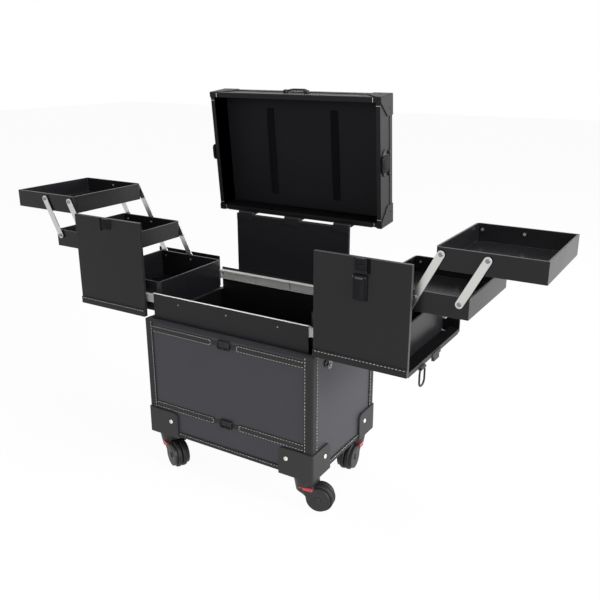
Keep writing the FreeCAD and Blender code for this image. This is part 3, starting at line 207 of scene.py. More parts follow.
class TrainCaseColours(bpy.types.PropertyGroup):
    """Colours of the finishes."""

    leather: colour("Leather", "Covering of the panels and the lid", (0.0130, 0.0130, 0.0145))
    # Painted sheen: the low box's black leather given a lighter, bluer colour for the white floor's reflection on
    # it
    box_leather: colour("Box leather", "Covering of the low box", (0.0400, 0.0400, 0.0490))
    trim: colour("Trim", "Corner trims, hems and bands", (0.0170, 0.0170, 0.0180))
    # Also painted shadow: the strips beside the catches and the rim round the lever seat
    lining: colour("Lining", "Inside of the box and the lid", (0.0040, 0.0040, 0.0048))
    pad: colour("Lid pad", "Panel in the lid, back plate and latches", (0.0085, 0.0085, 0.0105))
    tray: colour("Tray board", "Trays and liner walls", (0.0105, 0.0105, 0.0120))
    steel: colour("Steel", "Arms and piping", (0.58, 0.575, 0.56))
    # Painted highlight: a paler copy of the slides' zinc for the liner's edge strip and the slides' upper faces
    # that catch the overhead light
    zinc: colour("Zinc", "Liner edge and upper faces of the slides", (0.80, 0.79, 0.77))
    # The slides' zinc, kept darker than the lit zinc: the pair are shaded and lit copies of one metal
    rail: colour("Rail", "Slides", (0.42, 0.415, 0.405))
    gunmetal: colour("Gun metal", "Eyelets and striker plates", (0.22, 0.22, 0.23))
    # Painted highlight: a grey paler than the leather for light caught on the panels' tops and outer ends, the
    # ledges' ends, catch edges, lever bar and rivets
    edging: colour("Edging", "Upper edges of the panels", (0.0500, 0.0500, 0.0520))
    lacquer: colour("Lacquer", "Black hinges, buckles and bails", (0.0080, 0.0080, 0.0085))
    plastic: colour("Plastic", "Bumpers and casters", (0.0235, 0.0235, 0.0240))
    rubber: colour("Rubber", "Wheel treads", (0.0120, 0.0120, 0.0125))
    enamel: colour("Enamel", "Bumper rivets", (0.70, 0.67, 0.60))
    signal: colour("Lock red", "Caster lock pads", (0.4600, 0.0400, 0.0520))
    thread: colour("Thread", "Stitching", (0.5200, 0.5000, 0.4500))


# Shader expressions

class Value:
    """A socket of a node graph; arithmetic on it adds Math nodes."""

    def __init__(self, graph, socket):
        self.graph = graph
        self.socket = socket

    def maths(self, operation, *terms):
        return self.graph.node("Math", {"operation": operation}, dict(enumerate(terms)))

    def __add__(self, other):
        return self.maths("ADD", self, other)

    __radd__ = __add__

    def __sub__(self, other):
        return self.maths("SUBTRACT", self, other)

    def __rsub__(self, other):
        return self.maths("SUBTRACT", other, self)

    def __mul__(self, other):
        return self.maths("MULTIPLY", self, other)

    __rmul__ = __mul__

    def __abs__(self):
        return self.maths("ABSOLUTE", self)

    def __lt__(self, other):
        return self.maths("LESS_THAN", self, other)

    def __gt__(self, other):
        return self.maths("GREATER_THAN", self, other)

    def at_most(self, other):
        return self.maths("MINIMUM", self, other)


class Graph:
    """A node tree that is filled by one method."""

    def __init__(self, tree):
        self.tree = tree
        tree.nodes.clear()

    def node(self, kind, settings=None, inputs=None, output=0):
        """Adds a node, sets it up, then feeds its sockets with values or links."""
        made = self.tree.nodes.new(f"ShaderNode{kind}")
        for key, value in (settings or {}).items():
            setattr(made, key, value)
        for key, value in (inputs or {}).items():
            if isinstance(value, Value):
                self.tree.links.new(value.socket, made.inputs[key])
            else:
                made.inputs[key].default_value = value
        return Value(self, made.outputs[output]) if made.outputs else None

    def blend(self, factor, low, high):
        """A colour between two, by a factor from 0 to 1."""
        return self.node(
            "Mix", {"data_type": "RGBA"}, {"Factor": factor, "A": low, "B": high}, output="Result"
        )

    def mottled(self, cloud, base, low, high):
        """A colour that wanders between a darker and a lighter tone of itself."""
        return self.blend(cloud, tone(base, low), tone(base, high))

    def object_place(self):
        """The place on the CAD frame, in metres."""
        return self.node("TexCoord", output="Object")

    def noise(self, place, scale, detail=3.0, rough=0.55):
        """Noise from 0 to 1 about a half."""
        return self.node(
            "TexNoise", None, {"Vector": place, "Scale": scale, "Detail": detail, "Roughness": rough}
        )

    def rounded(self, radius):
        """The normal of a surface whose edges are rounded."""
        return self.node("Bevel", {"samples": 4}, {"Radius": radius})

    def painted_edge_highlight(self, rounded):
        """How far a rounded edge's normal leaves the flat one: 0 on a face, up to 1 along an edge; the mask of the
        painted highlight along edges.
        """
        flat = self.node("NewGeometry", output="Normal")
        agree = self.node("VectorMath", {"operation": "DOT_PRODUCT"}, {0: flat, 1: rounded}, output="Value")
        gain = 8.0
        return (gain * (1.0 - agree)).at_most(1.0)

    def bump(self, strength, distance, height, normal=None):
        """A normal that is raised and lowered by a height."""
        inputs = {"Strength": strength, "Distance": distance, "Height": height}
        if normal is not None:
            inputs["Normal"] = normal
        return self.node("Bump", None, inputs)


def tone(base, factor=1.0):
    """An opaque colour, made lighter or darker by a factor."""
    return (*(min(1.0, part * factor) for part in base), 1.0)


def finish(name, build):
    """A material whose graph is filled by build, which returns the sockets of its one shader."""
    material = bpy.data.materials.new(name)
    material.use_nodes = True
    graph = Graph(material.node_tree)
    shader = graph.node("BsdfPrincipled", None, build(graph))
    graph.node("OutputMaterial", None, {"Surface": shader})
    return material


def grained(name, base, grain, depth, rough, gloss, edge=1.8, radius=0.0008, inside=None, lining=None):
    """Coated fabric or board: small pebbles as bump, cloudy colour and roughness, rounded edges painted paler as
    highlight.

    Where the mask that inside gives is 1, the colour is that of the lining; on the panels and the ledges that is
    the highlight grey, painted on their outer ends as highlight.
    """
    pit_share, pit_tone, highlight_share = 0.35, 0.6, 0.8

    def build(graph):
        place = graph.object_place()
        cells = graph.node("TexVoronoi", None, {"Vector": place, "Scale": grain}, output="Distance")
        cloud = graph.noise(place, scale=14.0)
        fine = graph.noise(place, scale=grain * 2.2, detail=2.0)
        rounded = graph.rounded(radius)
        shade = graph.mottled(cloud, base, low=0.86, high=1.14)
        shade = graph.blend(cells * pit_share, shade, tone(base, pit_tone))
        # Painted highlight: rounded edges made paler by the factor edge
        shade = graph.blend(graph.painted_edge_highlight(rounded) * highlight_share, shade, tone(base, edge))
        if inside is not None:
            shade = graph.blend(inside(graph, place), shade, tone(lining))
        return {
            "Base Color": shade,
            "Roughness": rough + (cloud - 0.5) * 0.12 + (fine - 0.5) * 0.10,
            "Specular IOR Level": gloss,
            "Normal": graph.bump(strength=depth, distance=0.0003, height=cells + fine * 0.5, normal=rounded),
        }
    return finish(name, build)


def metal(name, base, rough, streak):
    """Bare metal: fine streaks in roughness and bump, cloudy tone, rounded edges."""
    def build(graph):
        place = graph.object_place()
        turned_place = graph.node("Mapping", None, {"Vector": place, "Scale": streak})
        streaks = graph.noise(turned_place, scale=1.0, detail=4.0, rough=0.6)
        cloud = graph.noise(place, scale=22.0)
        rounded = graph.rounded(radius=0.0004)
        return {
            "Base Color": graph.mottled(cloud, base, low=0.92, high=1.06),
            "Metallic": 1.0,
            "Roughness": rough + (streaks - 0.5) * 0.18,
            "Normal": graph.bump(strength=0.08, distance=0.0001, height=streaks, normal=rounded),
        }
    return finish(name, build)


def moulded(name, base, rough, gloss, speckle, coat=0.0, edge=1.9):
    """Moulded or lacquered surface: fine orange peel, edges painted slightly paler as highlight."""
    highlight_share = 0.7

    def build(graph):
        place = graph.object_place()
        peel = graph.noise(place, scale=speckle)
        cloud = graph.noise(place, scale=18.0)
        rounded = graph.rounded(radius=0.0007)
        shade = graph.mottled(cloud, base, low=0.88, high=1.12)
        # Painted highlight: rounded edges made paler by the factor edge
        shade = graph.blend(graph.painted_edge_highlight(rounded) * highlight_share, shade, tone(base, edge))
        return {
            "Base Color": shade,
            "Roughness": rough + (peel - 0.5) * 0.14,
            "Specular IOR Level": gloss,
            "Coat Weight": coat,
            "Coat Roughness": 0.12,
            "Normal": graph.bump(strength=0.14, distance=0.0002, height=peel, normal=rounded),
        }
    return finish(name, build)


def spun(name, base):
    """Thread: a fine twist as roughness and bump, and a tone that wanders."""
    def build(graph):
        place = graph.object_place()
        twist = graph.noise(place, scale=1400.0, detail=2.0)
        cloud = graph.noise(place, scale=40.0)
        return {
            "Base Color": graph.mottled(cloud, base, low=0.75, high=1.1),
            "Roughness": 0.75 + (twist - 0.5) * 0.2,
            "Normal": graph.bump(strength=0.4, distance=0.0002, height=twist),
        }
    return finish(name, build)


def coordinates(graph, place):
    """The three numbers of a place, in millimetres."""
    outputs = graph.node("SeparateXYZ", None, {"Vector": place}).socket.node.outputs
    return [mm(Value(graph, outputs[axis])) for axis in "XYZ"]


def box_inside(graph, place):
    """1 inside the low box's cavity, 0 on its outer faces."""
    x, y, z = coordinates(graph, place)
    half_width, half_depth, floor = BOX_CAVITY
    return (abs(x) < half_width) * (abs(y) < half_depth) * (z > floor)


def liner_inside(graph, place):
    """1 on the faces of the liner walls that look into the compartment, 0 on their outer faces."""
    return abs(coordinates(graph, place)[Y]) < LINER_INNER_FACE


def lit_half_end(graph, place):
    """1 on the outermost faces of the sliding halves, 0 on the rest of them; there the highlight grey is painted
    as highlight.
    """
    return abs(coordinates(graph, place)[X]) > HALF_END


def lid_inside(graph, place):
    """1 inside the lid and on its rim, 0 on its outer faces, found on the shut lid."""
    x, y, z = coordinates(graph, place)
    y, z = y - LID_PIN_Y, z - LID_PIN_Z
    c, s = math.cos(LID_TURN), math.sin(LID_TURN)
    shut_y, shut_z = y * c - z * s, y * s + z * c
    within = (shut_y > LID_INNER_FRONT - LID_PIN_Y) * (shut_y < LID_INNER_BACK - LID_PIN_Y)
    below = shut_z < LID_CEILING + LID_MARGIN - LID_PIN_Z
    rim = shut_z < LID_UNDER + LID_MARGIN - LID_PIN_Z
    return ((abs(x) < LID_INNER_SIDE) * within * below + rim).at_most(1.0)


FINISHES = {}


def make_finishes(look):
    """Every finish by its own name."""
    # edge sets how much paler each finish paints its rounded edges as highlight; the trays and ledges take the
    # most
    FINISHES.update({
        "leather": grained(
            "panel_leather", look.leather, grain=620.0, depth=0.22, rough=0.46, gloss=0.20,
            edge=4.5, radius=0.0009, inside=lit_half_end, lining=look.edging,
        ),
        "lid_leather": grained(
            "lid_leather", look.leather, grain=620.0, depth=0.22, rough=0.46, gloss=0.20,
            edge=2.6, inside=lid_inside, lining=look.lining,
        ),
        # Painted sheen: the panels' black leather, made lighter and bluer for the floor's reflection on the low
        # box
        "box_leather": grained(
            "box_leather", look.box_leather, grain=620.0, depth=0.18, rough=0.44, gloss=0.30,
            edge=1.3, inside=box_inside, lining=look.lining,
        ),
        "trim": grained(
            "trim_leather", look.trim, grain=760.0, depth=0.30, rough=0.50, gloss=0.24, edge=2.2
        ),
        "band": grained(
            "band_leather", look.trim, grain=700.0, depth=0.26, rough=0.48, gloss=0.28, edge=2.0
        ),
        "lining": grained(
            "lining_cloth", look.lining, grain=1500.0, depth=0.30, rough=0.72, gloss=0.05, edge=1.4
        ),
        "pad": grained("lid_pad", look.pad, grain=1500.0, depth=0.24, rough=0.60, gloss=0.10, edge=1.3),
        "ledge": grained(
            "ledge_board", look.lining, grain=900.0, depth=0.24, rough=0.60, gloss=0.06,
            edge=14.0, radius=0.0009, inside=lit_half_end, lining=look.edging,
        ),
        # Painted highlight: the paler grey of upper edges and outer ends
        "edging": moulded("edge_paint", look.edging, rough=0.44, gloss=0.30, speckle=600.0, edge=1.6),
        "tray": grained(
            "tray_board", look.tray, grain=1100.0, depth=0.14, rough=0.25, gloss=0.24,
            edge=13.0, radius=0.00045,
        ),
        "liner": grained(
            "liner_board", look.tray, grain=1100.0, depth=0.16, rough=0.40, gloss=0.20,
            edge=4.0, radius=0.0006, inside=liner_inside, lining=look.lining,
        ),
        "steel": metal("satin_steel", look.steel, rough=0.34, streak=(160.0, 160.0, 1600.0)),
        # Painted highlight: the lit copy of the slides' zinc
        "zinc": moulded(
            "bright_zinc", look.zinc, rough=0.34, gloss=0.60, speckle=500.0, coat=0.1, edge=1.2
        ),
        "rail": moulded("slide_zinc", look.rail, rough=0.34, gloss=0.60, speckle=500.0, coat=0.1),
        "gunmetal": metal("gun_metal", look.gunmetal, rough=0.36, streak=(90.0, 90.0, 90.0)),
        "lacquer": moulded(
            "black_lacquer", look.lacquer, rough=0.38, gloss=0.26, speckle=260.0, coat=0.06, edge=3.2
        ),
        "plastic": moulded("moulded_plastic", look.plastic, rough=0.46, gloss=0.28, speckle=900.0),
        "rubber": moulded("wheel_rubber", look.rubber, rough=0.55, gloss=0.30, speckle=700.0, edge=1.5),
        "enamel": moulded(
            "cream_enamel", look.enamel, rough=0.34, gloss=0.40, speckle=400.0, coat=0.2, edge=1.1
        ),
        "signal": moulded(
            "lock_red", look.signal, rough=0.32, gloss=0.45, speckle=300.0, coat=0.2, edge=1.3
        ),
        "thread": spun("cream_thread", look.thread),
    })


# Shapes: arrays of points in millimetres with their faces

METRES = 0.001
MERGE_DISTANCE = 1e-6
SHARP_ANGLE = math.radians(38)


def grid_faces(rows, columns, ring=False):
    """Quads of a grid whose columns close on themselves; ring closes the rows too."""
    i, j = np.meshgrid(np.arange(rows if ring else rows - 1), np.arange(columns), indexing="ij")
    down, right = (i + 1) % rows, (j + 1) % columns
    corners = (i * columns + j, i * columns + right, down * columns + right, down * columns + j)
    return np.stack(corners, -1).reshape(-1, 4)


def shell(rings, ring=False):
    """A closed shape from rings of points: quads between rings, and one face over each open end."""
    rows, columns = rings.shape[:2]
    faces = grid_faces(rows, columns, ring).tolist()
    if not ring:
        faces.append(list(range(columns))[::-1])
        faces.append(list(range((rows - 1) * columns, rows * columns)))
    return rings.reshape(-1, 3), faces


def set_down(points, spot, face):
    """Points given along, up and out of a face, moved to spot on it."""
    return points @ np.array(face, float) + np.array(spot, float)


def rounded_loop(width, height, radius, steps=6):
    """A rectangle's outline with quarter circles for corners."""
    angle = np.arange(4)[:, None] * np.pi / 2 + np.linspace(0, np.pi / 2, steps)[None]
    corner = np.array([[1, 1], [-1, 1], [-1, -1], [1, -1]]) * (np.array([width, height]) / 2 - radius)
    return (corner[:, None] + radius * np.stack([np.cos(angle), np.sin(angle)], -1)).reshape(-1, 2)


def circle(radius, around=14):
    """Points at even angles round a circle."""
    angle = np.linspace(0, 2 * np.pi, around, endpoint=False)
    return radius * np.stack([np.cos(angle), np.sin(angle)], -1)


def plate(spot, face, size, corner, edge=0.6, crown=0.0):
    """A plate of a width, height and thickness that lies on a face.

    Rounded outlines are drawn in by a quarter circle at the upper edge, then rise as a parabolic crown.
    """
    width, height, thick = size
    edge_steps, crown_steps, least_corner = 5, 7, 0.05
    turn = np.linspace(0, np.pi / 2, edge_steps)
    inset = np.concatenate([[0.0], edge * (1 - np.cos(turn))])
    level = np.concatenate([[0.0], thick - edge + edge * np.sin(turn)])
    loops = [rounded_loop(width - 2 * d, height - 2 * d, max(corner - d, least_corner)) for d in inset]
    rings = [np.column_stack([loop, np.full(len(loop), h)]) for loop, h in zip(loops, level)]
    if crown:
        last = loops[-1]
        rings += [
            np.column_stack([last * share, np.full(len(last), thick + crown * (1 - share ** 2))])
            for share in np.linspace(0.85, 0.02, crown_steps)
        ]
    return shell(set_down(np.stack(rings), spot, face))


def turned(spot, face, profile, around=24):
    """A profile of radius and height carried round the axis that stands out of a face."""
    radius, level = np.array(profile, float).T
    angle = np.linspace(0, 2 * np.pi, around, endpoint=False)
    ring = np.stack(np.broadcast_arrays(
        radius[:, None] * np.cos(angle), radius[:, None] * np.sin(angle), level[:, None]
    ), -1)
    return shell(set_down(ring, spot, face))


def dome(radius, height, steps=7):
    """Profile of a rivet head: a short skirt, then a quarter ellipse."""
    skirt, almost_closed = 0.3, 0.98
    turn = np.linspace(0, np.pi / 2 * almost_closed, steps)
    level = skirt * height + (1 - skirt) * height * np.sin(turn)
    return [(radius, 0.0)] + list(zip(radius * np.cos(turn), level))


def swept(path, section, normal, ring=False, swell=None):
    """A section carried along a flat path: one axis lies along normal, the other across the path."""
    ahead = np.roll(path, -1, 0) - np.roll(path, 1, 0) if ring else np.gradient(path, axis=0)
    ahead = ahead / np.linalg.norm(ahead, axis=1, keepdims=True)
    normal = np.array(normal, float)
    across = np.cross(normal, ahead)
    scale = np.ones(len(path)) if swell is None else swell
    rings = (
        path[:, None]
        + scale[:, None, None] * section[None, :, :1] * across[:, None]
        + scale[:, None, None] * section[None, :, 1:] * normal
    )
    return shell(rings, ring)


def open_lid(shapes):
    """Shapes drawn on the shut lid, turned open about the hinge pin."""
    c, s = math.cos(LID_TURN), math.sin(LID_TURN)
    turn = np.array([[1, 0, 0], [0, c, -s], [0, s, c]])
    pin = np.array([0, LID_PIN_Y, LID_PIN_Z])
    return [((points - pin) @ turn + pin, faces) for points, faces in shapes]


def piece(name, shapes, finishes, body, replaces=(), marks=None):
    """One object from several shapes; marks gives each shape's place in the list of finishes."""
    starts = np.cumsum([0] + [len(points) for points, _ in shapes])
    points = np.concatenate([points for points, _ in shapes]) * METRES
    faces = [
        [corner + start for corner in face]
        for start, (_, shape_faces) in zip(starts, shapes)
        for face in shape_faces
    ]
    mesh = bpy.data.meshes.new(name)
    mesh.from_pydata(points.tolist(), [], faces)
    index = np.repeat(marks or [0] * len(shapes), [len(shape_faces) for _, shape_faces in shapes])
    mesh.polygons.foreach_set("material_index", index)
    for key in finishes:
        mesh.materials.append(FINISHES[key])
    work = bmesh.new()
    work.from_mesh(mesh)
    bmesh.ops.remove_doubles(work, verts=work.verts, dist=MERGE_DISTANCE)
    bmesh.ops.recalc_face_normals(work, faces=work.faces)
    work.to_mesh(mesh)
    work.free()
    mesh.shade_smooth()
    mesh.set_sharp_from_angle(angle=SHARP_ANGLE)
    thing = bpy.data.objects.new(name, mesh)
    bpy.context.scene.collection.objects.link(thing)
    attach(thing, body)
    if replaces:
        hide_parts(*replaces)


# Stitching

def stitch(long, width):
    """One stitch: rings round a line whose radius falls off with the fourth power towards its ends."""
    shoulder, tip, flatness = 0.72, 0.02, 0.7
    along = np.array([-1.0, -shoulder, 0.0, shoulder, 1.0])
    radius = np.sqrt(np.maximum(1 - along ** 4, tip)) * width / 2
    ring = circle(1.0, around=6)
    return np.stack(np.broadcast_arrays(
        along[:, None] * long / 2, radius[:, None] * ring[:, 0], radius[:, None] * ring[:, 1] * flatness
    ), -1)


def stitch_row(start, end, out, sizes):
    """Stitches set at an even pitch along a straight line on a face that looks out."""
    start, end, out = (np.array(part, float) for part in (start, end, out))
    run = np.linalg.norm(end - start)
    along = (end - start) / run
    count = max(2, int(run / mm(sizes.stitch_pitch)))
    form = stitch(mm(sizes.stitch_length), mm(sizes.stitch_width))
    axes = np.array([along, np.cross(out, along), out])
    spots = start + (np.arange(count) + 0.5)[:, None] / count * run * along
    rings = spots[:, None, None] + (form @ axes)[None]
    rows, columns = form.shape[:2]
    first = np.arange(count)[:, None, None] * rows * columns
    sides = (grid_faces(rows, columns)[None] + first).reshape(-1, 4)
    ends = np.stack([np.arange(columns)[::-1], np.arange(columns) + (rows - 1) * columns])
    ends = (ends[None] + first).reshape(-1, columns)
    return rings.reshape(-1, 3), sides.tolist() + ends.tolist()


class TRAINCASE_OT_finishes(bpy.types.Operator):
    """Makes the finishes and gives each CAD node its own"""

    bl_idname = "train_case.finishes"
    bl_label = "Finishes"

    def execute(self, context):
        make_finishes(context.scene.train_case_colours)
        slots = {row["node"]: row["material_slot"] for row in frame["record"]["subparts"]}
        for name, thing in NODES.items():
            key = NODE_FINISHES.get(name, SLOT_FINISHES[slots[name]])
            thing.data.materials.clear()
            thing.data.materials.append(FINISHES[key])
        return {"FINISHED"}


class TRAINCASE_OT_bands(bpy.types.Operator):
    """Sewn bands and short straps across the front of the low box"""

    bl_idname = "train_case.bands"
    bl_label = "Front bands"

    def execute(self, context):
        sizes = context.scene.train_case_sizes
        thick = mm(sizes.band_thick)
        inner, outer = BAND_SPAN
        band = (outer - inner, mm(sizes.band_width), thick)
        strap_middle, strap_share = 20.0, 0.75
        strap = (18.0, 8.4, thick * strap_share)
        shapes = []
        for level in BAND_LEVELS:
            for sign in SIDES.values():
                spot = (sign * (inner + outer) / 2, -BOX_FACE, level)
                shapes.append(plate(spot, FRONT, band, corner=2.0, edge=0.7))
                spot = (sign * strap_middle, -BOX_FACE, level)
                shapes.append(plate(spot, FRONT, strap, corner=1.5, edge=0.5))
        piece("front_bands", shapes, ["band"], "base")
        return {"FINISHED"}


class TRAINCASE_OT_buckles(bpy.types.Operator):
    """Slide buckles in the middle of the front bands"""

    bl_idname = "train_case.buckles"
    bl_label = "Buckles"

    def execute(self, context):
        loop = rounded_loop(width=25.0, height=13.6, radius=2.4, steps=8)
        wire = rounded_loop(width=3.0, height=4.8, radius=1.3, steps=4)
        lift = 2.4
        depth = np.full(len(loop), -BOX_FACE - lift)
        shapes = []
        for level in BAND_LEVELS:
            path = np.column_stack([loop[:, 0], depth, level + loop[:, 1]])
            spot = (0, -BOX_FACE, level)
            shapes.append(swept(path, wire, (0, 1, 0), ring=True))
            shapes.append(plate(spot, FRONT, (2.6, 13.0, 3.8), corner=1.0, edge=0.8))
            shapes.append(plate(spot, FRONT, (23.0, 10.4, 2.2), corner=1.5, crown=0.6))
        marks = [0, 0, 1] * len(BAND_LEVELS)
        finishes = ["lacquer", "band"]
        piece("front_slide_buckles", shapes, finishes, "base", ["front_buckles"], marks)
        return {"FINISHED"}


class TRAINCASE_OT_stitching(bpy.types.Operator):
    """Rows of cream stitches on the box, the panels and the lid"""

    bl_idname = "train_case.stitching"
    bl_label = "Stitching"

    def execute(self, context):
        sizes = context.scene.train_case_sizes
        rows = self.band_rows(sizes) + self.trim_rows()
        shapes = [stitch_row(*row, sizes) for row in rows]
        piece("box_stitching", shapes, ["thread"], "base")
        inset, rise = 2.0, 11.0
        level = PANEL_FOOT + rise
        for name, sign in SIDES.items():
            start = (sign * (PANEL_INNER + inset), PANEL_HEM_FACE, level)
            end = (sign * (PANEL_OUTER - inset), PANEL_HEM_FACE, level)
            row = stitch_row(start, end, (0, -1, 0), sizes)
            piece(f"{name}_panel_stitching", [row], ["thread"], f"{name}_half")
        shapes = open_lid([stitch_row(*row, sizes) for row in self.lid_rows()])
        piece("lid_stitching", shapes, ["thread"], "lid")
        return {"FINISHED"}

    @staticmethod
    def band_rows(sizes):
        """Along both edges of each front band and down its inner end."""
        y = -BOX_FACE - mm(sizes.band_thick)
        margin, inner_margin, outer_margin = 1.8, 2.0, 1.0
        half = mm(sizes.band_width) / 2 - margin
        inner, outer = BAND_SPAN[0] + inner_margin, BAND_SPAN[1] - outer_margin
        rows = []
        for level in BAND_LEVELS:
            low, high = level - half, level + half
            for sign in SIDES.values():
                for z in (low, high):
                    rows.append(((sign * inner, y, z), (sign * outer, y, z), (0, -1, 0)))
                rows.append(((sign * inner, y, low), (sign * inner, y, high), (0, -1, 0)))
        return rows

    @staticmethod
    def trim_rows():
        """Up both flanks of each corner trim, and along the hems at the foot of the box."""
        low, high, from_corner = 124.0, 300.0, 15.2
        hem, side_reach, front_reach = 80.5, 56.0, 113.0
        rows = []
        for sign in SIDES.values():
            x = sign * TRIM_SIDE
            for out in END_FACES:
                seam_x, y = sign * (TRIM_SIDE - from_corner), out * TRIM_FACE
                rows.append(((seam_x, y, low), (seam_x, y, high), (0, out, 0)))
                seam_y = out * (TRIM_FACE - from_corner)
                rows.append(((x, seam_y, low), (x, seam_y, high), (sign, 0, 0)))
            rows.append(((x, -side_reach, hem), (x, side_reach, hem), (sign, 0, 0)))
        for out in END_FACES:
            y = out * TRIM_FACE
            rows.append(((-front_reach, y, hem), (front_reach, y, hem), (0, out, 0)))
        return rows

    @staticmethod
    def lid_rows():
        """Along both rim strips at the front and the back of the shut lid."""
        reach, proud = 142.0, 1.2
        return [
            ((-reach, y, z), (reach, y, z), (0, out, 0))
            for z in (490.5, 521.5)
            for y, out in ((LID_FRONT - proud, -1), (LID_BACK + proud, 1))
        ]


class TRAINCASE_OT_top_edges(bpy.types.Operator):
    """Strips on the liner and the rear slides in the lit zinc, and strips over the panels' upper edges in the
    highlight grey, all painted highlight; a bound edge on the back plate
    """

    bl_idname = "train_case.top_edges"
    bl_label = "Top edges"

    def execute(self, context):
        reach = LINER_END + 0.3
        strips = [self.strip(-reach, reach, y=-104.75, z=LINER_TOP - 0.1, width=2.9, height=1.0)]
        for sign in SIDES.values():
            start, end = sign * 1.2, sign * (LINER_END - 0.2)
            strips.append(self.strip(start, end, y=98.4, z=SLIDE_TOP + 0.1, width=9.8, height=0.7))
        # Painted highlight: the liner's edge strip and the strips over the rear slides' upper faces, in the lit
        # zinc
        piece("liner_edge", strips, ["zinc"], "base")
        reach = BACK_PLATE_END
        bound = self.strip(-reach, reach, y=107.2, z=BACK_PLATE_TOP + 1.4, width=3.0, height=5.2)
        piece("back_plate_edge", [bound], ["trim"], "base")
        for name, sign in SIDES.items():
            start, end = sign * (PANEL_INNER + 0.1), sign * (PANEL_OUTER - 0.1)
            # Painted highlight: strips in the highlight grey over the panels' upper edges
            edge = self.strip(start, end, y=-112.0, z=PANEL_TOP, width=6.2, height=0.7)
            piece(f"{name}_panel_edge_highlight", [edge], ["edging"], f"{name}_half")
        return {"FINISHED"}

    @staticmethod
    def strip(start, end, y, z, width, height):
        """A rectangle with rounded corners carried straight from left to right."""
        roundness, steps = 0.4, 3
        path = np.column_stack([np.linspace(start, end, steps), np.full(steps, y), np.full(steps, z)])
        return swept(path, rounded_loop(width, height, height * roundness, steps=5), (0, 0, 1))


class TRAINCASE_OT_rivets(bpy.types.Operator):
    """Domed rivets on the bumpers and along the liner wall"""

    bl_idname = "train_case.rivets"
    bl_label = "Rivets"

    def execute(self, context):
        sizes = context.scene.train_case_sizes
        head = dome(mm(sizes.rivet_radius), mm(sizes.rivet_dome))
        across, along, level = 129.8, 76.7, 102.8
        shapes = []
        for sign in SIDES.values():
            for out, face in END_FACES.items():
                shapes.append(turned((sign * across, out * BUMPER_FACE, level), face, head))
            for y in (-along, along):
                shapes.append(turned((sign * BUMPER_SIDE, y, level), SIDE_FACES[sign], head))
        marks = [0] * len(shapes)
        small_head, liner_level = dome(1.6, 1.2), 338.0
        for x in (-107.0, 0.0, 107.0):
            shapes.append(turned((x, -LINER_FACE, liner_level), FRONT, small_head, around=16))
            marks.append(1)
        piece("domed_rivets", shapes, ["enamel", "gunmetal"], "base", ["base_rivets"], marks)
        return {"FINISHED"}


class TRAINCASE_OT_arm_eyelets(bpy.types.Operator):
    """Hollow rivet heads on the arms, their hollows painted black as shade"""

    bl_idname = "train_case.arm_eyelets"
    bl_label = "Arm eyelets"

    def execute(self, context):
        ring = [(3.3, 0.0), (3.3, 1.1), (3.15, 1.5), (2.9, 1.7), (2.5, 1.66), (2.3, 1.46)]
        # Painted shade: the hollow is a near-flush disc in black lacquer that darkens the hole
        shaded_hollow = [(2.35, 1.42), (1.0, 1.43), (0.1, 1.43)]
        head = 1.4
        for name in SIDES:
            for arms, places in self.places(name).items():
                body = f"{name}_{arms}"
                arm_face = span(body, Y)[1] - head
                shapes = []
                for x, _, z in places:
                    for out, face in END_FACES.items():
                        spot = (x, out * arm_face, z)
                        shapes += [turned(spot, face, ring), turned(spot, face, shaded_hollow)]
                marks = [0, 1] * (len(shapes) // 2)
                piece(f"{body}_eyelets", shapes, ["gunmetal", "lacquer"], body, (), marks)
        return {"FINISHED"}

    @staticmethod
    def places(name):
        """The pivots of each pair of arms; the lower outer arms share their upper one with a neighbour."""
        lower, lower_inner = pivot(f"{name}_lower_fold"), pivot(f"{name}_lower_inner_swing")
        upper, upper_inner = pivot(f"{name}_upper_fold"), pivot(f"{name}_upper_inner_swing")
        arm = pivot(f"{name}_middle_tray_level") - lower
        return {
            "lower_outer_arms": (lower,),
            "lower_inner_arms": (lower_inner, lower_inner + arm),
            "upper_outer_arms": (upper, upper + arm),
            "upper_inner_arms": (upper_inner, upper_inner + arm),
        }


class TRAINCASE_OT_lid_lining(bpy.types.Operator):
    """Lining panel in the lid and two slack straps across it"""

    bl_idname = "train_case.lid_lining"
    bl_label = "Lid lining"

    def execute(self, context):
        slack = 1.6
        across = 2 * LID_INNER_SIDE - slack
        along = LID_INNER_BACK - LID_INNER_FRONT - slack
        level, tall, thick = (LID_UNDER + LID_CEILING) / 2, 38.0, 0.5
        panel = plate((0, LID_MIDDLE, LID_CEILING), DOWNWARD, (across, along, 1.2), corner=2.0, edge=0.5)
        walls = [
            plate(spot, face, (wide, tall, thick), corner=1.0, edge=0.2)
            for spot, face, wide in (
                ((0, LID_INNER_FRONT, level), BACK, across),
                ((0, LID_INNER_BACK, level), FRONT, across),
                ((-LID_INNER_SIDE, LID_MIDDLE, level), RIGHT, along),
                ((LID_INNER_SIDE, LID_MIDDLE, level), LEFT, along),
            )
        ]
        marks = [0] + [1] * len(walls)
        shapes = open_lid([panel, *walls])
        piece("lid_lining", shapes, ["pad", "lining"], "lid", (), marks)
        width = mm(context.scene.train_case_sizes.lid_strap_width)
        shapes = open_lid([self.strap(sign, width) for sign in SIDES.values()])
        piece("lid_straps", shapes, ["lining"], "lid")
        return {"FINISHED"}

    @staticmethod
    def strap(sign, width):
        """A flat strap whose distance from the lining follows a power of a half sine."""
        place, start, long, thick = 70.0, 83.0, 168.0, 1.2
        least, slack, power, steps = 1.9, 1.7, 0.8, 41
        along = np.linspace(0, 1, steps)
        sag = least + slack * np.sin(np.pi * along) ** power
        path = np.column_stack([np.full(steps, sign * place), start - long * along, LID_CEILING - sag])
        return swept(path, rounded_loop(thick, width, radius=0.5, steps=4), (1, 0, 0))


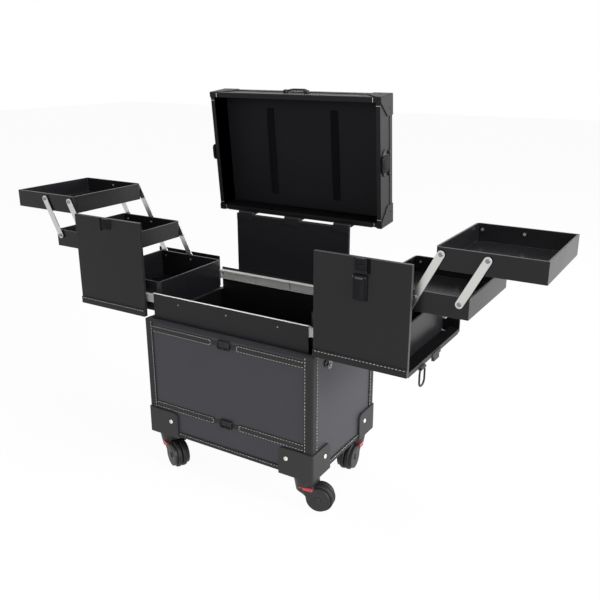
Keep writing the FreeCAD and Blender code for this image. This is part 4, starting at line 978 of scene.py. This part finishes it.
class TRAINCASE_OT_lid_fittings(bpy.types.Operator):
    """Handle, handle mounts, latch plates and latch levers of the lid"""

    bl_idname = "train_case.lid_fittings"
    bl_label = "Lid fittings"

    HANDLE_LEVEL = 506.0
    HANDLE_Y = -121.0

    def execute(self, context):
        mount_x, plate_level, plate_thick = 22.5, 499.2, 3.0
        ear_x, ear_reach, ear_level = LID_SIDE + plate_thick, 19.4, 507.0
        lever_x, lever_level = LID_SIDE + 3.3, 494.4
        tab_x, tab_level = LID_SIDE + 5.6, 492.0
        shapes, marks = [], []
        for name, sign in SIDES.items():
            face = SIDE_FACES[sign]
            spot = (sign * LID_SIDE, LID_MIDDLE, plate_level)
            shapes.append(plate(spot, face, (47.0, 20.6, plate_thick), corner=9.0, edge=1.0))
            for y in (LID_MIDDLE - ear_reach, LID_MIDDLE + ear_reach):
                spot = (sign * ear_x, y, ear_level)
                shapes.append(plate(spot, face, (7.2, 5.4, 5.0), corner=2.0, edge=1.2))
            spot = (sign * mount_x, LID_FRONT, self.HANDLE_LEVEL)
            shapes.append(plate(spot, FRONT, (8.0, 8.0, 6.4), corner=2.0, edge=1.4, crown=0.5))
            marks += [1, 0, 0, 0]
            spot = (sign * lever_x, LID_MIDDLE, lever_level)
            tab_spot = (sign * tab_x, LID_MIDDLE, tab_level)
            lever = open_lid([
                plate(spot, face, (30.0, 28.2, 2.6), corner=7.0, edge=1.2, crown=0.8),
                plate(tab_spot, face, (16.0, 18.0, 1.6), corner=5.0, edge=0.8, crown=0.6),
            ])
            latch = f"{name}_lid_latch"
            piece(f"{name}_latch_lever", lever, ["pad"], latch, [latch])
        finishes = ["lacquer", "plastic"]
        piece("lid_mounts", open_lid(shapes), finishes, "lid", ["lid_fittings"], marks)
        grip = open_lid(self.grip())
        piece("lid_grip", grip, ["lacquer"], "lid_handle", ["lid_handle"])
        return {"FINISHED"}

    def grip(self):
        """A round bar that swells in its middle, carried along half of a superellipse, and its two pins."""
        half, rise, power, radius, steps = 16.5, 12.0, 0.35, 2.0, 49
        turn = np.linspace(np.pi, 0, steps)
        across = np.sign(np.cos(turn)) * np.abs(np.cos(turn)) ** power
        level = self.HANDLE_LEVEL + rise * np.sin(turn) ** power
        path = np.column_stack([half * across, np.full(steps, self.HANDLE_Y), level])
        end_share, gain = 0.82, 0.18
        swell = end_share + gain * np.sin(turn) ** 0.5
        shapes = [swept(path, circle(radius), (0, 1, 0), swell=swell)]
        pin, pin_x = [(1.0, 0.0), (1.0, 7.4), (0.8, 7.8)], 16.2
        for sign in SIDES.values():
            spot = (sign * pin_x, self.HANDLE_Y, self.HANDLE_LEVEL)
            shapes.append(turned(spot, SIDE_FACES[sign], pin, around=14))
        return shapes


class TRAINCASE_OT_panel_latches(bpy.types.Operator):
    """Catches on both front panels and the draw lever on the right one"""

    bl_idname = "train_case.panel_latches"
    bl_label = "Panel latches"

    CATCH_FACE = -BOX_FACE - 3.0
    LEVER_LEVEL = 435.2

    def execute(self, context):
        middle, _, hinge = pivot("right_panel_lever_swing")
        finishes = ["pad", "lining", "edging"]
        for name, sign in SIDES.items():
            shapes, marks = self.catch(sign * middle, sign), [0, 0, 1, 2]
            if name == "right":
                shapes += self.lever_seat(middle, hinge)
                marks += [1, 0, 0, 2, 0, 2]
                lever, node = self.lever(middle), "right_panel_lever"
                piece("draw_lever", lever, ["pad", "edging"], node, [node], [0, 0, 1])
            node = f"{name}_panel_catch"
            piece(f"{name}_catch_plates", shapes, finishes, f"{name}_half", [node], marks)
        return {"FINISHED"}

    def catch(self, x, sign):
        """Plate, hook, side strip and upper edge of a catch: the black side strip is painted shadow, the upper
        edge in the highlight grey is painted highlight.
        """
        shadow_strip_x = x + sign * 13.2
        level, hook_level, shadow_strip_level, edge_level = (PANEL_TOP - drop for drop in (10.0, 12.5, 11.9, 0.1))
        return [
            plate((x, -BOX_FACE, level), FRONT, (20.0, 20.0, 3.0), corner=2.5, edge=0.9),
            plate((x, self.CATCH_FACE, hook_level), FRONT, (10.0, 5.0, 2.5), corner=1.2, edge=0.8),
            # Painted shadow: a black strip in the lining colour beside the catch plate
            plate((shadow_strip_x, -BOX_FACE, shadow_strip_level), FRONT, (5.4, 23.2, 1.0), corner=0.8, edge=0.4),
            plate((x, self.CATCH_FACE, edge_level), FRONT, (14.0, 1.4, 1.2), corner=0.5, edge=0.3),
        ]

    def lever_seat(self, x, hinge):
        """Black backing sheet, whose rim round the plate is a painted shadow gap, and plate behind the lever, and
        a lug with a rivet at each end of its hinge.
        """
        spot, half, lug_reach, rivet_rise = (x, -BOX_FACE, self.LEVER_LEVEL), 10.2, 4.2, 0.5
        rivet = dome(1.1, 0.8)
        shapes = [
            # Painted shadow: the black sheet shows as a dark outline round the plate
            plate(spot, FRONT, (25.0, 41.6, 0.8), corner=3.0, edge=0.4),
            plate(spot, FRONT, (22.0, 39.4, 3.0), corner=3.0, edge=0.9),
        ]
        for lug in (x - half, x + half):
            rivet_spot = (lug, self.CATCH_FACE - lug_reach, hinge + rivet_rise)
            shapes.append(plate((lug, self.CATCH_FACE, hinge), FRONT, (2.6, 5.0, 4.4), corner=1.0, edge=0.8))
            shapes.append(turned(rivet_spot, FRONT, rivet, around=12))
        return shapes

    def lever(self, x):
        """Lever plate, its raised middle and the bar at its head, in the highlight grey as painted highlight."""
        spot, ridge_spot, bar_spot = (
            (x, self.CATCH_FACE - out, level)
            for out, level in ((0.3, self.LEVER_LEVEL), (3.0, 430.0), (3.6, 451.2))
        )
        return [
            plate(spot, FRONT, (17.0, 39.0, 3.2), corner=3.5, edge=1.3, crown=1.2),
            plate(ridge_spot, FRONT, (10.0, 22.0, 1.7), corner=3.0, edge=0.8, crown=0.5),
            plate(bar_spot, FRONT, (14.5, 3.2, 0.9), corner=1.2, edge=0.4),
        ]


class TRAINCASE_OT_hinge_shade_plates(bpy.types.Operator):
    """Dark plates on the back plate in front of the hinge barrels, standing in for the shade there"""

    bl_idname = "train_case.hinge_aprons"
    bl_label = "Hinge aprons"

    def execute(self, context):
        # Painted shade: dark plates where the shade in front of the hinge barrels lies
        hinges, level, size = (-108.0, 0.0, 108.0), 462.4, (36.0, 12.6, 0.9)
        shapes = [plate((x, BACK_PLATE_FACE, level), FRONT, size, corner=1.0, edge=0.3) for x in hinges]
        piece("hinge_aprons", shapes, ["pad"], "base")
        return {"FINISHED"}


class TRAINCASE_OT_ledge_shade_strips(bpy.types.Operator):
    """Dark board strips that carry the ledges' floors in behind the low trays, either side of the liner wall,
    standing in for the deep shade there
    """

    bl_idname = "train_case.ledge_strips"
    bl_label = "Ledge strips"

    def execute(self, context):
        # Painted shade: dark strips that close the slots where the deep shade lies
        place, level, wide, thick = 322.0, 305.2, 12.0, 1.2
        for name, sign in SIDES.items():
            shapes = [
                plate((sign * place, y, level), UPWARD, (wide, deep, thick), corner=0.5, edge=0.3)
                for y, deep in ((97.4, 10.8), (109.8, 5.2))
            ]
            piece(f"{name}_ledge_shade_strips", shapes, ["ledge"], f"{name}_half")
        return {"FINISHED"}


class TRAINCASE_OT_side_catches(bpy.types.Operator):
    """Cup and striker plate on each side of the low box"""

    bl_idname = "train_case.side_catches"
    bl_label = "Side catches"

    def execute(self, context):
        cup = [(7.5, 0.0), (7.5, 1.6), (6.6, 2.2), (5.4, 2.2), (4.6, 1.4), (4.4, 0.5), (0.1, 0.5)]
        cup_place, striker_place, hook_place = (-69.0, 276.0), (-57.0, 271.0), (-58.0, 269.0)
        striker, hook = (14.0, 19.0, 1.5), (7.0, 6.0, 2.2)
        shapes = []
        for sign in SIDES.values():
            face = SIDE_FACES[sign]
            x, hook_x = sign * BOX_SIDE, sign * (BOX_SIDE + striker[2])
            shapes.append(turned((x, *cup_place), face, cup))
            shapes.append(plate((x, *striker_place), face, striker, corner=5.0, edge=0.7))
            shapes.append(plate((hook_x, *hook_place), face, hook, corner=1.5, edge=0.8))
        marks = [0, 1, 1] * len(SIDES)
        finishes = ["lacquer", "gunmetal"]
        piece("side_catch_plates", shapes, finishes, "base", ["side_catches"], marks)
        return {"FINISHED"}


class TRAINCASE_OT_bails(bpy.types.Operator):
    """Wire bails on the ledges, the right one hanging and the left one flipped up"""

    bl_idname = "train_case.bails"
    bl_label = "Bails"

    def execute(self, context):
        drop, wire = 31.0, circle(1.6)
        loop = rounded_loop(width=20.8, height=drop, radius=9.0, steps=9)
        for name, sign in SIDES.items():
            x, y, z = pivot(f"{name}_bail_swing")
            middle = z - sign * drop / 2
            path = np.column_stack([np.full(len(loop), x), y + loop[:, 0], middle + loop[:, 1]])
            shapes = [swept(path, wire, (1, 0, 0), ring=True)]
            piece(f"{name}_wire_bail", shapes, ["lacquer"], f"{name}_bail", [f"{name}_bail"])
        return {"FINISHED"}


class TRAINCASE_OT_lid_corners(bpy.types.Operator):
    """Bright piping across the lid rim beside each corner, and small rivets on the corner caps"""

    bl_idname = "train_case.lid_corners"
    bl_label = "Lid corners"

    def execute(self, context):
        head, rivet_level, cap_proud = dome(1.8, 1.0), 520.0, 2.0
        rim_middle, from_corner, rivet_end, rivet_side = 4.0, 14.0, 18.0, 22.0
        long, wide, thick = 8.0, 0.9, 0.5
        across_end, across_side = (wide, long, thick), (long, wide, thick)
        shapes = []
        for sign in SIDES.values():
            for end, out in ((LID_FRONT, -1), (LID_BACK, 1)):
                spot = (sign * (LID_SIDE - from_corner), end - out * rim_middle, LID_UNDER)
                shapes.append(plate(spot, DOWNWARD, across_end, corner=0.4, edge=0.2))
                spot = (sign * (LID_SIDE - rim_middle), end - out * from_corner, LID_UNDER)
                shapes.append(plate(spot, DOWNWARD, across_side, corner=0.4, edge=0.2))
                spot = (sign * (LID_SIDE + cap_proud), end - out * rivet_side, rivet_level)
                shapes.append(turned(spot, SIDE_FACES[sign], head, around=14))
                spot = (sign * (LID_SIDE - rivet_end), end + out * cap_proud, rivet_level)
                shapes.append(turned(spot, END_FACES[out], head, around=14))
        marks = [0, 0, 1, 1] * (len(shapes) // 4)
        shapes = open_lid(shapes)
        piece("lid_corner_details", shapes, ["steel", "lacquer"], "lid", (), marks)
        return {"FINISHED"}


class TRAINCASE_OT_axle_caps(bpy.types.Operator):
    """Low domed caps over the ends of the axles"""

    bl_idname = "train_case.axle_caps"
    bl_label = "Axle caps"

    def execute(self, context):
        cap, wheel_face = dome(5.6, 2.0, steps=9), 15.2
        for name, joint in JOINTS.items():
            if not name.startswith("roll_"):
                continue
            axis = np.array(joint["axis"], float)
            ahead = (axis[1], -axis[0], 0)
            shapes = [
                turned(pivot(name) + wheel_face * out, (ahead, (0, 0, 1), out), cap, around=28)
                for out in (-axis, axis)
            ]
            corner = name.removeprefix("roll_")
            piece(f"axle_caps_{corner}", shapes, ["plastic"], joint["child"])
        return {"FINISHED"}


class TRAINCASE_OT_stage(bpy.types.Operator):
    """Pale floor, white surroundings, soft lamps and the camera"""

    bl_idname = "train_case.stage"
    bl_label = "Stage"

    def execute(self, context):
        scene = context.scene
        scene.view_settings.view_transform = "Standard"
        self.floor(scene)
        self.surroundings(scene)
        for row in LAMPS:
            self.lamp(scene, **row)
        self.camera(scene)
        return {"FINISHED"}

    def floor(self, scene):
        """A flat square that glows white to the camera and keeps a little of the shadow."""
        far = FLOOR_REACH
        mesh = bpy.data.meshes.new("floor")
        corners = [(-far, -far, 0), (far, -far, 0), (far, far, 0), (-far, far, 0)]
        mesh.from_pydata(corners, [], [(0, 1, 2, 3)])
        floor = bpy.data.objects.new("floor", mesh)
        scene.collection.objects.link(floor)
        material = bpy.data.materials.new("pale_floor")
        material.use_nodes = True
        graph = Graph(material.node_tree)
        matte = graph.node("BsdfDiffuse", None, {"Color": (FLOOR_GREY, FLOOR_GREY, FLOOR_GREY, 1.0)})
        glow = graph.node("Emission", None, {"Color": WHITE, "Strength": 1.0})
        mixed = graph.node("MixShader", None, {0: self.seen(graph) * FLOOR_GLOW, 1: matte, 2: glow})
        graph.node("OutputMaterial", None, {"Surface": mixed})
        mesh.materials.append(material)

    def surroundings(self, scene):
        """White where they are seen, dim where they light the case."""
        world = bpy.data.worlds.new("surroundings")
        world.use_nodes = True
        scene.world = world
        graph = Graph(world.node_tree)
        soft = graph.node("Background", None, {"Color": WHITE, "Strength": SKY_STRENGTH})
        white = graph.node("Background", None, {"Color": WHITE, "Strength": 1.0})
        mixed = graph.node("MixShader", None, {0: self.seen(graph), 1: soft, 2: white})
        graph.node("OutputWorld", None, {"Surface": mixed})

    @staticmethod
    def seen(graph):
        """1 for rays from the camera, mirrors and glass, which see plain white."""
        path = graph.node("LightPath").socket.node.outputs
        camera, glossy, glass = (
            Value(graph, path[f"Is {kind} Ray"]) for kind in ("Camera", "Glossy", "Transmission")
        )
        return (camera + glossy + glass).at_most(1.0)

    @staticmethod
    def lamp(scene, name, place, aim, size, power):
        """A round area lamp that looks at a point."""
        light = bpy.data.lights.new(name, "AREA")
        light.shape = "DISK"
        light.size = size
        light.energy = power
        holder = bpy.data.objects.new(name, light)
        x, y, z = np.array(aim) - np.array(place)
        holder.location = place
        holder.rotation_euler = (math.atan2(math.hypot(x, y), -z), 0.0, math.atan2(-x, y))
        scene.collection.objects.link(holder)

    @staticmethod
    def camera(scene):
        """The camera from which the case was measured."""
        lens = bpy.data.cameras.new("camera")
        lens.lens = CAMERA_LENS
        lens.sensor_width = CAMERA_SENSOR
        camera = bpy.data.objects.new("camera", lens)
        camera.location = CAMERA_PLACE
        camera.rotation_euler = (math.radians(CAMERA_TILT), 0.0, math.radians(CAMERA_HEADING))
        scene.collection.objects.link(camera)
        scene.camera = camera


OPERATORS = (
    TRAINCASE_OT_finishes,
    TRAINCASE_OT_bands,
    TRAINCASE_OT_buckles,
    TRAINCASE_OT_stitching,
    TRAINCASE_OT_top_edges,
    TRAINCASE_OT_rivets,
    TRAINCASE_OT_arm_eyelets,
    TRAINCASE_OT_lid_lining,
    TRAINCASE_OT_lid_fittings,
    TRAINCASE_OT_panel_latches,
    TRAINCASE_OT_hinge_shade_plates,
    TRAINCASE_OT_ledge_shade_strips,
    TRAINCASE_OT_side_catches,
    TRAINCASE_OT_bails,
    TRAINCASE_OT_lid_corners,
    TRAINCASE_OT_axle_caps,
    TRAINCASE_OT_stage,
)


class TRAINCASE_PT_panel(bpy.types.Panel):
    """Lists the dressing's sizes, colours and steps"""

    bl_idname = "TRAINCASE_PT_panel"
    bl_label = "Train case"
    bl_space_type = "VIEW_3D"
    bl_region_type = "UI"
    bl_category = "Train case"

    def draw(self, context):
        for group in (context.scene.train_case_sizes, context.scene.train_case_colours):
            for name in group.__annotations__:
                self.layout.prop(group, name)
        for operator in OPERATORS:
            self.layout.operator(operator.bl_idname)


CLASSES = (TrainCaseSizes, TrainCaseColours, *OPERATORS, TRAINCASE_PT_panel)


def register():
    for cls in CLASSES:
        bpy.utils.register_class(cls)
    bpy.types.Scene.train_case_sizes = bpy.props.PointerProperty(type=TrainCaseSizes)
    bpy.types.Scene.train_case_colours = bpy.props.PointerProperty(type=TrainCaseColours)


def unregister():
    del bpy.types.Scene.train_case_colours
    del bpy.types.Scene.train_case_sizes
    for cls in reversed(CLASSES):
        bpy.utils.unregister_class(cls)


def main():
    register()
    for operator in OPERATORS:
        group, name = operator.bl_idname.split(".")
        getattr(getattr(bpy.ops, group), name)()


if __name__ == "__main__":
    main()
